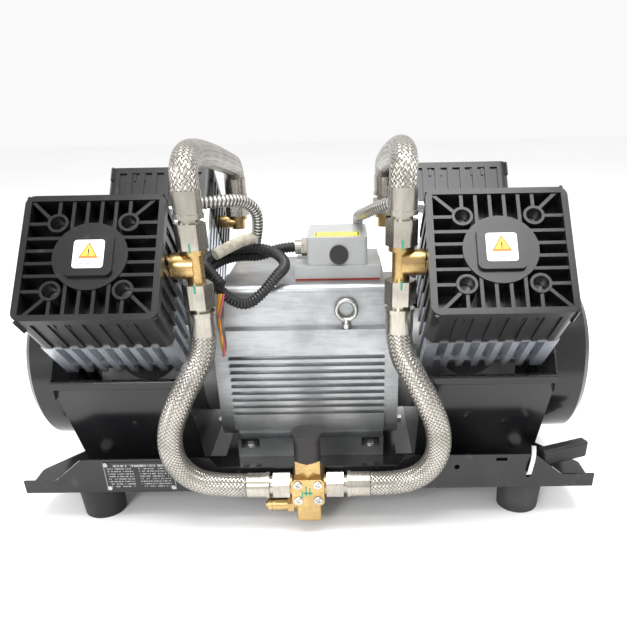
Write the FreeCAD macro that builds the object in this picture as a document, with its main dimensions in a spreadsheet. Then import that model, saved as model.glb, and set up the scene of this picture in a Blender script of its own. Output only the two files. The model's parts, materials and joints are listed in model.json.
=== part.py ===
# Twin V oil-free air compressor pump: one motor in the middle, a pair of cylinders, a fan and a
# sheet-metal air guide at each end, all standing on one tray with four rubber feet.
# Millimetres. X runs along the shaft, Y to the back, Z up; the origin is on the floor, under the
# middle of the shaft.
import FreeCAD, Part
import math
import os

import Sketcher

os.makedirs("parts", exist_ok=True)
doc = FreeCAD.newDocument("AirCompressor")
sheet = doc.addObject("Spreadsheet::Sheet", "Sizes")


# ---- the driving sizes --------------------------------------------------------------------------

class Size:
    """A number of the sheet, or one worked out from them, with the expression that says how."""

    def __init__(self, text, value):
        self.text = text
        self.value = float(value)

    def __add__(self, other):
        return join(self, "+", other, lambda a, b: a + b)

    def __radd__(self, other):
        return join(other, "+", self, lambda a, b: a + b)

    def __sub__(self, other):
        return join(self, "-", other, lambda a, b: a - b)

    def __rsub__(self, other):
        return join(other, "-", self, lambda a, b: a - b)

    def __mul__(self, other):
        return join(self, "*", other, lambda a, b: a * b)

    def __rmul__(self, other):
        return join(other, "*", self, lambda a, b: a * b)

    def __truediv__(self, other):
        return join(self, "/", other, lambda a, b: a / b)

    def __rtruediv__(self, other):
        return join(other, "/", self, lambda a, b: a / b)

    def __neg__(self):
        return self * -1

    def __float__(self):
        return self.value


def size_of(thing):
    """A Size, made from a plain number where it has to be."""
    return thing if isinstance(thing, Size) else Size(repr(float(thing)), thing)


def join(a, sign, b, rule):
    """The Size that is a and b put together by one of + - * /."""
    a = size_of(a)
    b = size_of(b)
    return Size(f"({a.text} {sign} {b.text})", rule(a.value, b.value))


def sine(angle):
    return Size(f"sin({angle.text})", math.sin(math.radians(angle.value)))


def cosine(angle):
    return Size(f"cos({angle.text})", math.cos(math.radians(angle.value)))


class Sizes:
    """Every named size; each is a cell of the sheet with an alias of the same name."""

    def __init__(self):
        self.row = 1

    def block(self, title, **values):
        sheet.set(f"A{self.row}", title)
        for name, value in values.items():
            self.row += 1
            cell = f"B{self.row}"
            sheet.set(f"A{self.row}", name.replace("_", " "))
            sheet.set(cell, str(value))
            sheet.setAlias(cell, name)
            setattr(self, name, Size(f"Sizes.{name}", value))
        self.row += 2


s = Sizes()
s.block("tray and feet", tray_long=630, tray_deep=292, tray_sheet=2.5, strip_high=15.5, flange_high=41.5,
        strip_run=36, ramp_run=32, notch_deep=12.5, notch_half=107, ear_straight=48, ear_in=262,
        ear_waist=30, window_in=103, window_out=129, window_half=72, foot_high=38.5, foot_round=25,
        foot_out=242, foot_back=118, bolt_round=4, bolt_slack=0.3, corner_round=12,
        spare_hole=3, spare_out=163.5, spare_up=65, tie_out=242, tie_up=55, slot_out=211.5, slot_up=74,
        tray_bolt_flats=13, nameplate_left=-223, nameplate_right=-146)
s.block("motor", axis_high=136, motor_long=174, motor_half=80, motor_top=111, shoulder_up=64.5,
        shoulder_half=72, waist_half=62, motor_foot_half=74, motor_foot_high=24, undercut_high=39.5,
        fin_pitch=8.4, fin_gap=4.6, fin_deep=7, fin_first=36, fin_count=9, stator_bore=62, air_gap=0.6,
        rotor_round=36, stator_long=100, winding_long=22, fit_gap=0.05, top_round=8,
        shield_thick=16, shield_half=70, bearing_round=26, bearing_wide=15, shaft_round=12.5,
        tunnel_half=44, tunnel_high=18, eye_out=45,
        shield_bolt_flats=10)
s.block("pump ends", bank_tilt=45, bank_out=183, case_round=60, case_wall=6, case_in=103.4, case_out=238,
        neck_round=42, neck_bore=36, deck=118, deck_thick=8, deck_half=55, throw=7, lobe_round=20,
        lobe_wide=9, lobe_apart=6, rod_gap=0.4, rod_wall=5, crank_round=11, weight_round=42,
        weight_thick=9)
s.block("cylinders", bore=31.5, piston_gap=0.05, cylinder_wide=125, cylinder_high=56, groove_deep=10,
        groove_wide=9, groove_pitch=15.4, plate_thick=4, head_wide=129, head_tall=127, head_high=56,
        head_corner=9, head_rim=6, rib_thick=3.2, pocket_deep=18, tube_out=9.6, tube_in=7,
        face_round=34, boss_half=21.5, boss_high=3, bolt_across=32.2, bolt_up=34.3, groove_clear=2,
        piston_thick=12, rod_thick=8, chamber_deep=28, port_round=8, port_reach=84, port_shift=8,
        rear_shift=-4)
s.block("fans and air guides", fan_round=78, fan_hub=20, fan_blades=7, fan_pitch=52, blade_chord=30,
        blade_thick=2.4, fan_place=286, fan_wide=26, drum_round=84.6, drum_sheet=1.6, drum_end=314.6,
        guide_in=122, guide_out=258, guide_sheet=1.5, guide_foot=93, guide_lip=146, lip_high=172,
        lip_band=9, lip_thick=4, cheek_half=42)
s.block("terminal box", box_left=-10, box_right=82.5, box_front=-53, base_deep=84, base_thick=13,
        gasket_thick=2, lid_in=14, lid_high=29, lid_wall=3, plug_out=38, plug_round=10, gland_round=8.5)
s.block("pipework", tee_out=97, tee_round=8.5, tee_half=16, branch_round=12, nut_flats=27, nut_high=23,
        port_nut=18, rear_arm=8.5, nipple_stem=9, ferrule_round=13.5, ferrule_long=24, ferrule_gap=4,
        hose_round=13, pipe_round=6,
        loom_round=6, loom_out=-62, loom_front=-50, loom_half=43, block_wide=34, block_high=32, block_deep=34, block_shift=2, block_up=56,
        nipple_flats=26, nipple_high=17, cap_round=14, cap_top_round=16, cap_high=31,
        elbow_wide=27, elbow_high=24, valve_round=7.5)

half = s.tray_long / 2
tray_top = s.foot_high + s.tray_sheet
face = s.deck + s.cylinder_high + s.plate_thick + s.head_high
back = s.tray_deep / 2
TILT = math.radians(s.bank_tilt.value)


# ---- helpers ------------------------------------------------------------------------------------

def vec(x, y, z):
    return FreeCAD.Vector(float(x), float(y), float(z))


X_WAY = vec(1, 0, 0)
Y_WAY = vec(0, 1, 0)
Z_WAY = vec(0, 0, 1)


def bind(thing, name, length):
    """Ties a property to the sheet; a plain number is set as it is."""
    if isinstance(length, Size):
        thing.setExpression(name, length.text)
    else:
        setattr(thing, name, length)


def place(thing, x=0, y=0, z=0, turn=None):
    thing.Placement = FreeCAD.Placement(vec(x, y, z), turn or FreeCAD.Rotation())
    return thing


def new_body(label):
    body = doc.addObject("PartDesign::Body", label)
    body.Label = label
    return body


def sketch(body, role="XY_Plane", lift=0):
    """A sketch on one of the body's own planes, lifted along the plane's normal."""
    made = body.newObject("Sketcher::SketchObject", "Sketch")
    planes = [f for f in body.Origin.OriginFeatures if f.Role == role]
    made.AttachmentSupport = [(planes[0], "")]
    made.MapMode = "FlatFace"
    if isinstance(lift, Size):
        made.setExpression(".AttachmentOffset.Base.z", lift.text)
    elif lift:
        made.AttachmentOffset = FreeCAD.Placement(vec(0, 0, lift), FreeCAD.Rotation())
    return made


def pin(made, line, end, x, y):
    """Holds one point of a sketch at x, y, which the sheet may drive."""
    for kind, value, axis in (("DistanceX", x, -2), ("DistanceY", y, -1)):
        value = size_of(value)
        if value.value == 0:
            made.addConstraint(Sketcher.Constraint("PointOnObject", line, end, axis))
            continue
        index = made.addConstraint(Sketcher.Constraint(kind, line, end, value.value))
        made.setExpression(f"Constraints[{index}]", value.text)


def outline(made, points):
    """A closed outline of straight lines through points, each held where the sheet says."""
    corners = [vec(x, y, 0) for x, y in points]
    count = len(corners)
    first = made.GeometryCount
    for i in range(count):
        made.addGeometry(Part.LineSegment(corners[i], corners[(i + 1) % count]))
    for i in range(count):
        made.addConstraint(Sketcher.Constraint("Coincident", first + i, 2, first + (i + 1) % count, 1))
        pin(made, first + i, 1, *points[i])
    return made


def rectangle(made, left, low, right, high):
    return outline(made, [(left, low), (right, low), (right, high), (left, high)])


def circle(made, radius, x=0, y=0):
    radius = size_of(radius)
    ring = made.addGeometry(Part.Circle(vec(x, y, 0), Z_WAY, radius.value))
    index = made.addConstraint(Sketcher.Constraint("Radius", ring, radius.value))
    made.setExpression(f"Constraints[{index}]", radius.text)
    pin(made, ring, 3, x, y)
    return made


def pad(body, made, length, middle=False, backwards=False):
    feature = body.newObject("PartDesign::Pad", "Pad")
    feature.Profile = made
    bind(feature, "Length", length)
    feature.Midplane = middle
    feature.Reversed = backwards
    made.Visibility = False
    body.Tip = feature
    doc.recompute()
    return feature


def pocket(body, made, depth=None, middle=False, backwards=False):
    """Cuts a sketch's outline to a depth, or right through both ways; it has to take something away."""
    before = body.Shape.Volume
    feature = body.newObject("PartDesign::Pocket", "Pocket")
    feature.Profile = made
    if depth is None:
        feature.Type = "ThroughAll"
        feature.Midplane = True
    else:
        bind(feature, "Length", depth)
        feature.Midplane = middle
        feature.Reversed = backwards
    body.Tip = feature
    doc.recompute()
    if body.Shape.Volume > before - 0.01:
        raise ValueError(f"{body.Label}: {feature.Name} cuts nothing")
    return feature


def turned(body, made, kind="PartDesign::Revolution", axis="H_Axis"):
    """A full turn of a sketch about its own horizontal or vertical axis."""
    feature = body.newObject(kind, "Turned")
    feature.Profile = made
    feature.ReferenceAxis = (made, [axis])
    feature.Angle = 360
    body.Tip = feature
    doc.recompute()
    return feature


def in_line(body, feature, made, axis, length, count):
    repeat = body.newObject("PartDesign::LinearPattern", "Row")
    repeat.Originals = [feature]
    repeat.Direction = (made, [axis])
    bind(repeat, "Length", length)
    bind(repeat, "Occurrences", count)
    body.Tip = repeat
    doc.recompute()
    return repeat


def around(body, feature, made, axis, count):
    repeat = body.newObject("PartDesign::PolarPattern", "Ring")
    repeat.Originals = [feature]
    repeat.Axis = (made, [axis])
    repeat.Angle = 360
    bind(repeat, "Occurrences", count)
    body.Tip = repeat
    doc.recompute()
    return repeat


def dress(body, kind, size, wanted):
    """A fillet or chamfer on the edges of the body's tip for which wanted(edge) is true."""
    tip = body.Tip
    names = [f"Edge{i + 1}" for i, e in enumerate(tip.Shape.Edges) if wanted(e)]
    if not names:
        raise ValueError(f"{body.Label}: no edges for the {kind}")
    feature = body.newObject(f"PartDesign::{kind}", kind)
    feature.Base = (tip, names)
    bind(feature, "Radius" if kind == "Fillet" else "Size", size)
    body.Tip = feature
    doc.recompute()
    return feature


def along(edge, way):
    """Whether a straight edge runs along way."""
    if len(edge.Vertexes) != 2 or not isinstance(edge.Curve, Part.Line):
        return False
    ends = edge.Vertexes[1].Point - edge.Vertexes[0].Point
    return ends.cross(way).Length < 0.001 * max(ends.Length, 0.001)


def near(a, b):
    return abs(float(a) - float(b)) < 0.05


def box(label, left, front, low, right, rear, high):
    made = doc.addObject("Part::Box", label)
    bind(made, "Length", right - left)
    bind(made, "Width", rear - front)
    bind(made, "Height", high - low)
    return place(made, left, front, low)


def rod(label, radius, length, x=0, y=0, z=0, way=Z_WAY):
    """A cylinder from x, y, z along way."""
    made = doc.addObject("Part::Cylinder", label)
    bind(made, "Radius", radius)
    bind(made, "Height", length)
    return place(made, x, y, z, FreeCAD.Rotation(Z_WAY, way))


def hexagon(label, flats, length, x=0, y=0, z=0, way=Z_WAY):
    made = doc.addObject("Part::Prism", label)
    made.Polygon = 6
    bind(made, "Circumradius", flats / math.sqrt(3))
    bind(made, "Height", length)
    return place(made, x, y, z, FreeCAD.Rotation(Z_WAY, way))


def fuse(label, shapes):
    made = doc.addObject("Part::MultiFuse", label)
    made.Shapes = shapes
    return made


def cut(label, base, tool):
    made = doc.addObject("Part::Cut", label)
    made.Base = base
    made.Tool = tool
    return made


def group(label, pieces):
    """One node that holds several separate solids."""
    made = doc.addObject("Part::Compound", label)
    made.Links = pieces
    return made


nodes = []


def node(thing, label=None):
    if label:
        thing.Label = label
    nodes.append(thing)
    return thing


SIDES = (("left", -1), ("right", 1))
ROWS = (("front", -1), ("rear", 1))


def bank_turn(row):
    """Turns local +Z to the cylinder's axis, and local -Y to its lower outer side."""
    lean = FreeCAD.Rotation(X_WAY, s.bank_tilt.value)
    return lean if row < 0 else FreeCAD.Rotation(Z_WAY, 180) * lean


def to_bank(thing, side, row):
    """Moves a shape that is modelled about the shaft's axis into one of the four banks."""
    return place(thing, s.bank_out * side, 0, s.axis_high, bank_turn(row))


def bank_point(side, row, x, y, z):
    """Where a point of a bank's own frame is in the whole; x counts towards the motor."""
    local = vec(float(x) * side * row, float(y), float(z))
    moved = bank_turn(row).multVec(local)
    return moved + vec(s.bank_out * side, 0, s.axis_high)


# ---- tray, feet and what stands on it -----------------------------------------------------------

def base_tray():
    body = new_body("base_tray")
    ear = back - s.ear_straight
    floor = sketch(body, lift=s.foot_high)
    outline(floor, [(-half, -back), (half, -back), (half, -ear), (s.ear_in, -s.ear_waist),
                    (s.ear_in, s.ear_waist), (half, ear), (half, back), (-half, back), (-half, ear),
                    (-s.ear_in, s.ear_waist), (-s.ear_in, -s.ear_waist), (-half, -ear)])
    pad(body, floor, s.tray_sheet)
    dress(body, "Fillet", s.corner_round, lambda e: along(e, Z_WAY) and not near(
        abs(e.Vertexes[0].Y), back))
    # the two long flanges: low at the ends, full height in between, with a shallow notch
    low = half - s.strip_run
    full = low - s.ramp_run
    base = s.foot_high
    for way in (-1, 1):
        wall = sketch(body, "XZ_Plane", (back - s.tray_sheet / 2) * -way)
        outline(wall, [(-half, base), (half, base), (half, base + s.strip_high), (low, base + s.strip_high),
                       (full, base + s.flange_high), (s.notch_half, base + s.flange_high),
                       (s.notch_half - 8, base + s.flange_high - s.notch_deep),
                       (8 - s.notch_half, base + s.flange_high - s.notch_deep),
                       (-s.notch_half, base + s.flange_high), (-full, base + s.flange_high),
                       (-low, base + s.strip_high), (-half, base + s.strip_high)])
        pad(body, wall, s.tray_sheet, middle=True)
    dress(body, "Fillet", s.corner_round, lambda e: along(e, Y_WAY) and (
        near(abs(e.Vertexes[0].X), low) or near(abs(e.Vertexes[0].X), full)))
    # windows each side of the motor, and the bolt holes of the feet and the motor
    holes = sketch(body, lift=tray_top)
    for side in (-1, 1):
        rectangle(holes, s.window_in * side, -s.window_half, s.window_out * side, s.window_half)
        for row in (-1, 1):
            circle(holes, s.bolt_round + s.bolt_slack, s.foot_out * side, s.foot_back * row)
            circle(holes, s.bolt_round + s.bolt_slack, motor_bolt_out * side, motor_bolt_back * row)
    pocket(body, holes, s.tray_sheet * 2)
    # a spare round hole, a slot and the hole of the cable tie in the front flange's right half
    extra = sketch(body, "XZ_Plane", back)
    circle(extra, s.spare_hole, s.spare_out, s.spare_up)
    circle(extra, s.spare_hole + 1, s.tie_out, s.tie_up)
    rectangle(extra, s.slot_out - 6, s.slot_up - 2, s.slot_out + 6, s.slot_up + 2)
    pocket(body, extra, s.tray_sheet * 2)
    return node(body)


motor_bolt_out = s.motor_long / 2 - 15
motor_bolt_back = s.motor_foot_half - 10


def rubber_feet():
    feet = []
    for side in (-1, 1):
        for row in (-1, 1):
            foot = new_body(f"foot_{len(feet) + 1}")
            profile = sketch(foot, "XZ_Plane")
            hole = s.bolt_round + s.bolt_slack
            outline(profile, [(hole, 8), (hole, s.foot_high), (s.foot_round, s.foot_high),
                              (s.foot_round - 2, 0), (12, 0), (12, 8)])
            turned(foot, profile, axis="V_Axis")
            place(foot, s.foot_out * side, s.foot_back * row, 0)
            feet.append(foot)
    return node(group("rubber_feet", feet))


def hex_bolt(name, x, y, seat, down):
    """An M8 hexagon bolt with its washer, its shank reaching down below the seat."""
    washer = rod(f"{name}_washer", 8, 1.6, x, y, seat)
    head = hexagon(f"{name}_head", s.tray_bolt_flats, 5.5, x, y, seat + 1.6)
    shank = rod(f"{name}_shank", s.bolt_round, down + 1.6, x, y, seat - down)
    return fuse(name, [washer, head, shank])


def tray_bolts():
    bolts = []
    for side in (-1, 1):
        for row in (-1, 1):
            bolts.append(hex_bolt(f"foot_bolt_{len(bolts)}", s.foot_out * side, s.foot_back * row,
                                  tray_top, s.tray_sheet + s.foot_high - 8.5))
            bolts.append(hex_bolt(f"motor_bolt_{len(bolts)}", motor_bolt_out * side,
                                  motor_bolt_back * row, tray_top + s.motor_foot_high - 12,
                                  s.motor_foot_high + s.tray_sheet - 12 + 6))
    return node(group("tray_bolts", bolts))


def nameplate():
    plate = box("nameplate", s.nameplate_left, -back - 0.8, s.foot_high + 3, s.nameplate_right, -back,
                s.foot_high + s.flange_high - 3)
    return node(plate)


def capacitor():
    """The flat run capacitor that is strapped down in the tray's right end."""
    body = new_body("run_capacitor")
    half_long = 30
    made = sketch(body, lift=0)
    rectangle(made, -half_long, -6.5, half_long, 6.5)
    pad(body, made, 20)
    dress(body, "Fillet", 3, lambda e: True)
    place(body, 284, -124, tray_top + 19, FreeCAD.Rotation(Z_WAY, 22))
    return node(body)


# ---- motor --------------------------------------------------------------------------------------

def motor_housing():
    """The extruded aluminium body, drawn as its end view and padded along the shaft."""
    body = new_body("motor_housing")
    seat = tray_top - s.axis_high
    end = sketch(body, "YZ_Plane")
    right = [(s.motor_foot_half, seat), (s.motor_foot_half, seat + s.motor_foot_high),
             (s.waist_half, seat + s.motor_foot_high + 2), (s.waist_half, seat + s.undercut_high - 2),
             (s.motor_half, seat + s.undercut_high), (s.motor_half, s.shoulder_up),
             (s.shoulder_half, s.shoulder_up + 1.5), (s.shoulder_half, s.motor_top)]
    tunnel = [(s.tunnel_half, seat + s.tunnel_high), (s.tunnel_half, seat)]
    left = [(-y, z) for y, z in reversed(right)]
    outline(end, right + left + [(-y, z) for y, z in reversed(tunnel)] + tunnel)
    pad(body, end, s.motor_long, middle=True)
    dress(body, "Fillet", s.top_round, lambda e: along(e, X_WAY) and near(
        e.Vertexes[0].Z, s.motor_top))
    bore = sketch(body, "YZ_Plane")
    circle(bore, s.stator_bore)
    pocket(body, bore)
    for way in (-1, 1):
        groove = sketch(body, "YZ_Plane")
        low = seat + s.undercut_high + s.fin_first - s.fin_pitch * 2
        rectangle(groove, (s.motor_half - s.fin_deep) * way, low, (s.motor_half + 1) * way, low + s.fin_gap)
        first = pocket(body, groove)
        in_line(body, first, groove, "V_Axis", s.fin_pitch * (s.fin_count - 1), s.fin_count)
    holes = sketch(body, "XY_Plane", seat)
    slots = sketch(body, "XY_Plane", seat + s.motor_foot_high)
    for side in (-1, 1):
        for row in (-1, 1):
            circle(holes, s.bolt_round + s.bolt_slack, motor_bolt_out * side, motor_bolt_back * row)
            rectangle(slots, (motor_bolt_out - 11) * side, (motor_bolt_back - 11) * row,
                      (motor_bolt_out + 11) * side, (motor_bolt_back + 12) * row)
    pocket(body, holes, s.motor_foot_high, backwards=True)
    pocket(body, slots, 12)
    place(body, 0, 0, s.axis_high)
    return node(body)


def end_shield(name, side):
    """The cast cover that closes one end of the motor and holds a bearing."""
    body = new_body(f"end_shield_{name}")
    start = s.motor_long / 2
    plan = sketch(body, "YZ_Plane", start * side)
    rectangle(plan, -s.motor_half + 6, -s.shield_half, s.motor_half - 6, s.shield_half + 22)
    pad(body, plan, s.shield_thick, backwards=side < 0)
    dress(body, "Fillet", 18, lambda e: along(e, X_WAY))
    seat = sketch(body, "YZ_Plane", start * side)
    circle(seat, s.bearing_round + s.fit_gap)
    pocket(body, seat, s.bearing_wide, backwards=side > 0)
    hole = sketch(body, "YZ_Plane")
    circle(hole, s.shaft_round + 1.5)
    pocket(body, hole)
    screws = sketch(body, "YZ_Plane")
    for y in (-1, 1):
        for z in (-1, 1):
            circle(screws, 3.3, shield_bolt_half * y, shield_bolt_up * z)
    pocket(body, screws)
    place(body, 0, 0, s.axis_high)
    return node(body)


shield_bolt_half = s.motor_half - 17
shield_bolt_up = s.shield_half - 18


def shield_bolts():
    bolts = []
    for side in (-1, 1):
        outer = (s.motor_long / 2 + s.shield_thick) * side
        for y in (-1, 1):
            for z in (-1, 1):
                name = f"shield_bolt_{len(bolts)}"
                at = (shield_bolt_half * y, s.axis_high + shield_bolt_up * z)
                head = hexagon(f"{name}_head", s.shield_bolt_flats, 5, outer, *at, X_WAY * side)
                shank = rod(f"{name}_shank", 3, s.shield_thick, outer, *at, X_WAY * -side)
                bolts.append(fuse(name, [head, shank]))
    return node(group("shield_bolts", bolts))


def stator():
    """The laminated core and, at each end of it, the copper end turns."""
    ring = rod("stator_outside", s.stator_bore - s.fit_gap, s.stator_long, -s.stator_long / 2, 0,
               s.axis_high, X_WAY)
    hole = rod("stator_hole", s.rotor_round + s.air_gap, s.stator_long + 2, -s.stator_long / 2 - 1, 0,
               s.axis_high, X_WAY)
    node(cut("stator_core", ring, hole))
    turns = []
    for name, side in SIDES:
        start = s.stator_long / 2 * side
        body = new_body(f"end_turns_{name}")
        profile = sketch(body, "XZ_Plane")
        rectangle(profile, start, s.rotor_round + 5, start + s.winding_long * side, s.stator_bore - 5)
        turned(body, profile)
        dress(body, "Fillet", 5, lambda e: not near(e.BoundBox.Center.x, start.value))
        place(body, 0, 0, s.axis_high)
        turns.append(body)
    node(group("stator_windings", turns))


def shaft():
    """One stepped shaft: rotor seat, bearing seats, crank seats and fan seats."""
    body = new_body("shaft")
    bearing_end = s.motor_long / 2 + s.shield_thick
    tip = s.fan_place + s.fan_wide / 2 + 6
    profile = sketch(body, "XZ_Plane")
    outline(profile, [(-tip, 0), (tip, 0), (tip, s.crank_round), (bearing_end + 4, s.crank_round),
                      (bearing_end + 4, s.shaft_round), (-bearing_end - 4, s.shaft_round),
                      (-bearing_end - 4, s.crank_round), (-tip, s.crank_round)])
    turned(body, profile)
    place(body, 0, 0, s.axis_high)
    node(body)
    core = rod("rotor_outside", s.rotor_round, s.stator_long, -s.stator_long / 2, 0, s.axis_high, X_WAY)
    hole = rod("rotor_hole", s.shaft_round, s.stator_long + 2, -s.stator_long / 2 - 1, 0, s.axis_high,
               X_WAY)
    node(cut("rotor_core", core, hole))
    rings = []
    for name, side in SIDES:
        start = s.motor_long / 2 * side
        outside = rod(f"bearing_outside_{name}", s.bearing_round, s.bearing_wide, start, 0, s.axis_high,
                      X_WAY * side)
        inside = rod(f"bearing_inside_{name}", s.shaft_round + s.fit_gap, s.bearing_wide + 2,
                     start - side, 0, s.axis_high, X_WAY * side)
        rings.append(cut(f"bearing_{name}", outside, inside))
    node(group("motor_bearings", rings))


def eye_bolt():
    """The lifting ring, screwed into the motor's front shoulder."""
    ring = doc.addObject("Part::Torus", "eye_ring")
    ring.Radius1 = 10.5
    ring.Radius2 = 2.4
    front = -s.shoulder_half - 5
    seat = s.axis_high + s.shoulder_up
    place(ring, s.eye_out, front, seat + 20.5, FreeCAD.Rotation(X_WAY, 90))
    foot = rod("eye_foot", 4.9, 4.5, s.eye_out, front, seat + 1.6)
    neck = rod("eye_neck", 3.5, 6, s.eye_out, front, seat + 5)
    thread = rod("eye_thread", 2.5, 12, s.eye_out, front, seat - 9)
    return node(fuse("eye_bolt", [ring, foot, neck, thread]))


# ---- terminal box on the motor's top ------------------------------------------------------------

def terminal_box():
    top = s.axis_high + s.motor_top
    seat = top + s.gasket_thick
    rear = s.box_front + s.base_deep
    middle = (s.box_front + rear) / 2
    node(box("terminal_gasket", s.box_left + 1, s.box_front + 1, top, s.box_right - 1, rear - 1, seat))
    base = box("terminal_base_block", s.box_left, s.box_front, seat, s.box_right, rear,
               seat + s.base_thick)
    well = box("terminal_base_well", s.box_left + s.lid_in + s.lid_wall, s.box_front + 8, seat + 4,
               s.box_right - s.lid_in - s.lid_wall, rear - 8, seat + s.base_thick + 1)
    node(cut("terminal_base", base, well))
    lid_low = seat + s.base_thick
    body = new_body("terminal_lid")
    shell = sketch(body, lift=lid_low)
    rectangle(shell, s.box_left + s.lid_in, s.box_front + 3, s.box_right - s.lid_in, rear - 3)
    pad(body, shell, s.lid_high)
    dress(body, "Fillet", 4, lambda e: along(e, Z_WAY))
    hollow = sketch(body, lift=lid_low)
    rectangle(hollow, s.box_left + s.lid_in + s.lid_wall, s.box_front + 3 + s.lid_wall,
              s.box_right - s.lid_in - s.lid_wall, rear - 3 - s.lid_wall)
    pocket(body, hollow, s.lid_high - s.lid_wall, backwards=True)
    plug_hole = sketch(body, "XZ_Plane", -s.box_front)
    circle(plug_hole, s.plug_round - 2, plug_x, lid_low + s.lid_high / 2 - 3)
    pocket(body, plug_hole, s.lid_wall * 4)
    gland_hole = sketch(body, "YZ_Plane", s.box_left)
    circle(gland_hole, s.gland_round - 2, middle, gland_up)
    pocket(body, gland_hole, s.lid_in + s.lid_wall + 2, backwards=True)
    node(body)
    plug_up = lid_low + s.lid_high / 2 - 3
    plug_at = (plug_x, s.box_front + 3, plug_up)
    head = rod("plug_head", s.plug_round, 2.5, *plug_at, Y_WAY * -1)
    stem = rod("plug_stem", s.plug_round - 2.3, 8, plug_x, s.box_front + 1, plug_up, Y_WAY)
    node(fuse("blanking_plug", [head, stem]))
    wall = s.box_left + s.lid_in
    nut = hexagon("gland_nut", s.gland_round * 2, 8, wall, middle, gland_up, X_WAY * -1)
    dome = rod("gland_dome", s.gland_round - 1, 8, wall - 7, middle, gland_up, X_WAY * -1)
    thread = rod("gland_thread", s.gland_round - 2.3, 7, wall - 1, middle, gland_up, X_WAY)
    node(fuse("cable_gland", [nut, dome, thread]))
    node(box("terminal_block", s.box_left + 28, middle - 14, seat + 4, s.box_right - 28, middle + 14,
             seat + 22))


plug_x = s.plug_out
gland_up = s.axis_high + s.motor_top + s.gasket_thick + s.base_thick + 12


# ---- pump ends ----------------------------------------------------------------------------------

def crankcase(name, side):
    """A barrel round the shaft with one square-flanged neck for each of its two cylinders."""
    body = new_body(f"case_barrel_{name}")
    inner = s.case_in - s.bank_out
    outer = s.case_out - s.bank_out
    barrel = sketch(body, "YZ_Plane", inner)
    circle(barrel, s.case_round)
    pad(body, barrel, outer - inner)
    necks = []
    for row_name, row in ROWS:
        neck = rod(f"neck_{name}_{row_name}", s.neck_round, s.deck - 20, 0, 0, 20)
        deck = doc.addObject("Part::Box", f"deck_{name}_{row_name}")
        bind(deck, "Length", s.deck_half * 2)
        bind(deck, "Width", s.deck_half * 2)
        bind(deck, "Height", s.deck_thick)
        place(deck, -s.deck_half, -s.deck_half, s.deck - s.deck_thick)
        pair = fuse(f"neck_pair_{name}_{row_name}", [neck, deck])
        place(pair, 0, 0, 0, bank_turn(row))
        necks.append(pair)
    whole = fuse(f"case_solid_{name}", [body] + necks)
    hollow = rod(f"case_hollow_{name}", s.case_round - s.case_wall, outer - inner - s.case_wall,
                 inner - 1, 0, 0, X_WAY)
    bores = [rod(f"neck_bore_{name}_{row_name}", s.neck_bore, s.deck + 2) for row_name, row in ROWS]
    for bore, (row_name, row) in zip(bores, ROWS):
        place(bore, 0, 0, 0, bank_turn(row))
    hole = rod(f"case_hole_{name}", s.crank_round + 3, 200, -100, 0, 0, X_WAY)
    made = cut(f"crankcase_{name}_cast", whole, fuse(f"case_cuts_{name}", [hollow, hole] + bores))
    turn = FreeCAD.Rotation() if side > 0 else FreeCAD.Rotation(Z_WAY, 180)
    place(made, s.bank_out * side, 0, s.axis_high, turn)
    return node(made, f"crankcase_{name}")


def eccentrics():
    """On each crank two lobes, each set opposite its own cylinder, and one balance weight."""
    made = []
    for name, side in SIDES:
        parts = []
        for row_name, row in ROWS:
            axis = bank_turn(row).multVec(Z_WAY)
            at = s.bank_out * side + s.lobe_apart * row - s.lobe_wide / 2
            down = axis * -float(s.throw)
            parts.append(rod(f"lobe_{name}_{row_name}", s.lobe_round, s.lobe_wide, at, down.y,
                             s.axis_high + down.z, X_WAY))
        start = s.bank_out * side - s.lobe_apart
        parts.append(rod(f"web_{name}", s.crank_round + 1.4, s.lobe_apart * 2, start, 0, s.axis_high,
                         X_WAY))
        disc = rod(f"weight_disc_{name}", s.weight_round, s.weight_thick, weight_start(side), 0,
                   s.axis_high, X_WAY)
        lower = box(f"weight_lower_{name}", weight_start(side) - 1, -s.weight_round - 1,
                    s.axis_high - s.weight_round - 1, weight_start(side) + s.weight_thick + 1,
                    s.weight_round + 1, s.axis_high + 2)
        hub = rod(f"weight_hub_{name}", s.crank_round + 4, s.weight_thick, weight_start(side), 0,
                  s.axis_high, X_WAY)
        parts += [cut(f"weight_{name}", disc, lower), hub]
        solid = fuse(f"eccentric_solid_{name}", parts)
        hole = rod(f"eccentric_hole_{name}", s.crank_round, 80, s.bank_out * side - 40, 0, s.axis_high,
                   X_WAY)
        made.append(cut(f"eccentric_{name}", solid, hole))
    return node(group("eccentrics", made))


def weight_start(side):
    near_end = s.bank_out * side + (s.lobe_apart + s.lobe_wide / 2) * side
    return near_end if side > 0 else near_end - s.weight_thick


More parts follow.
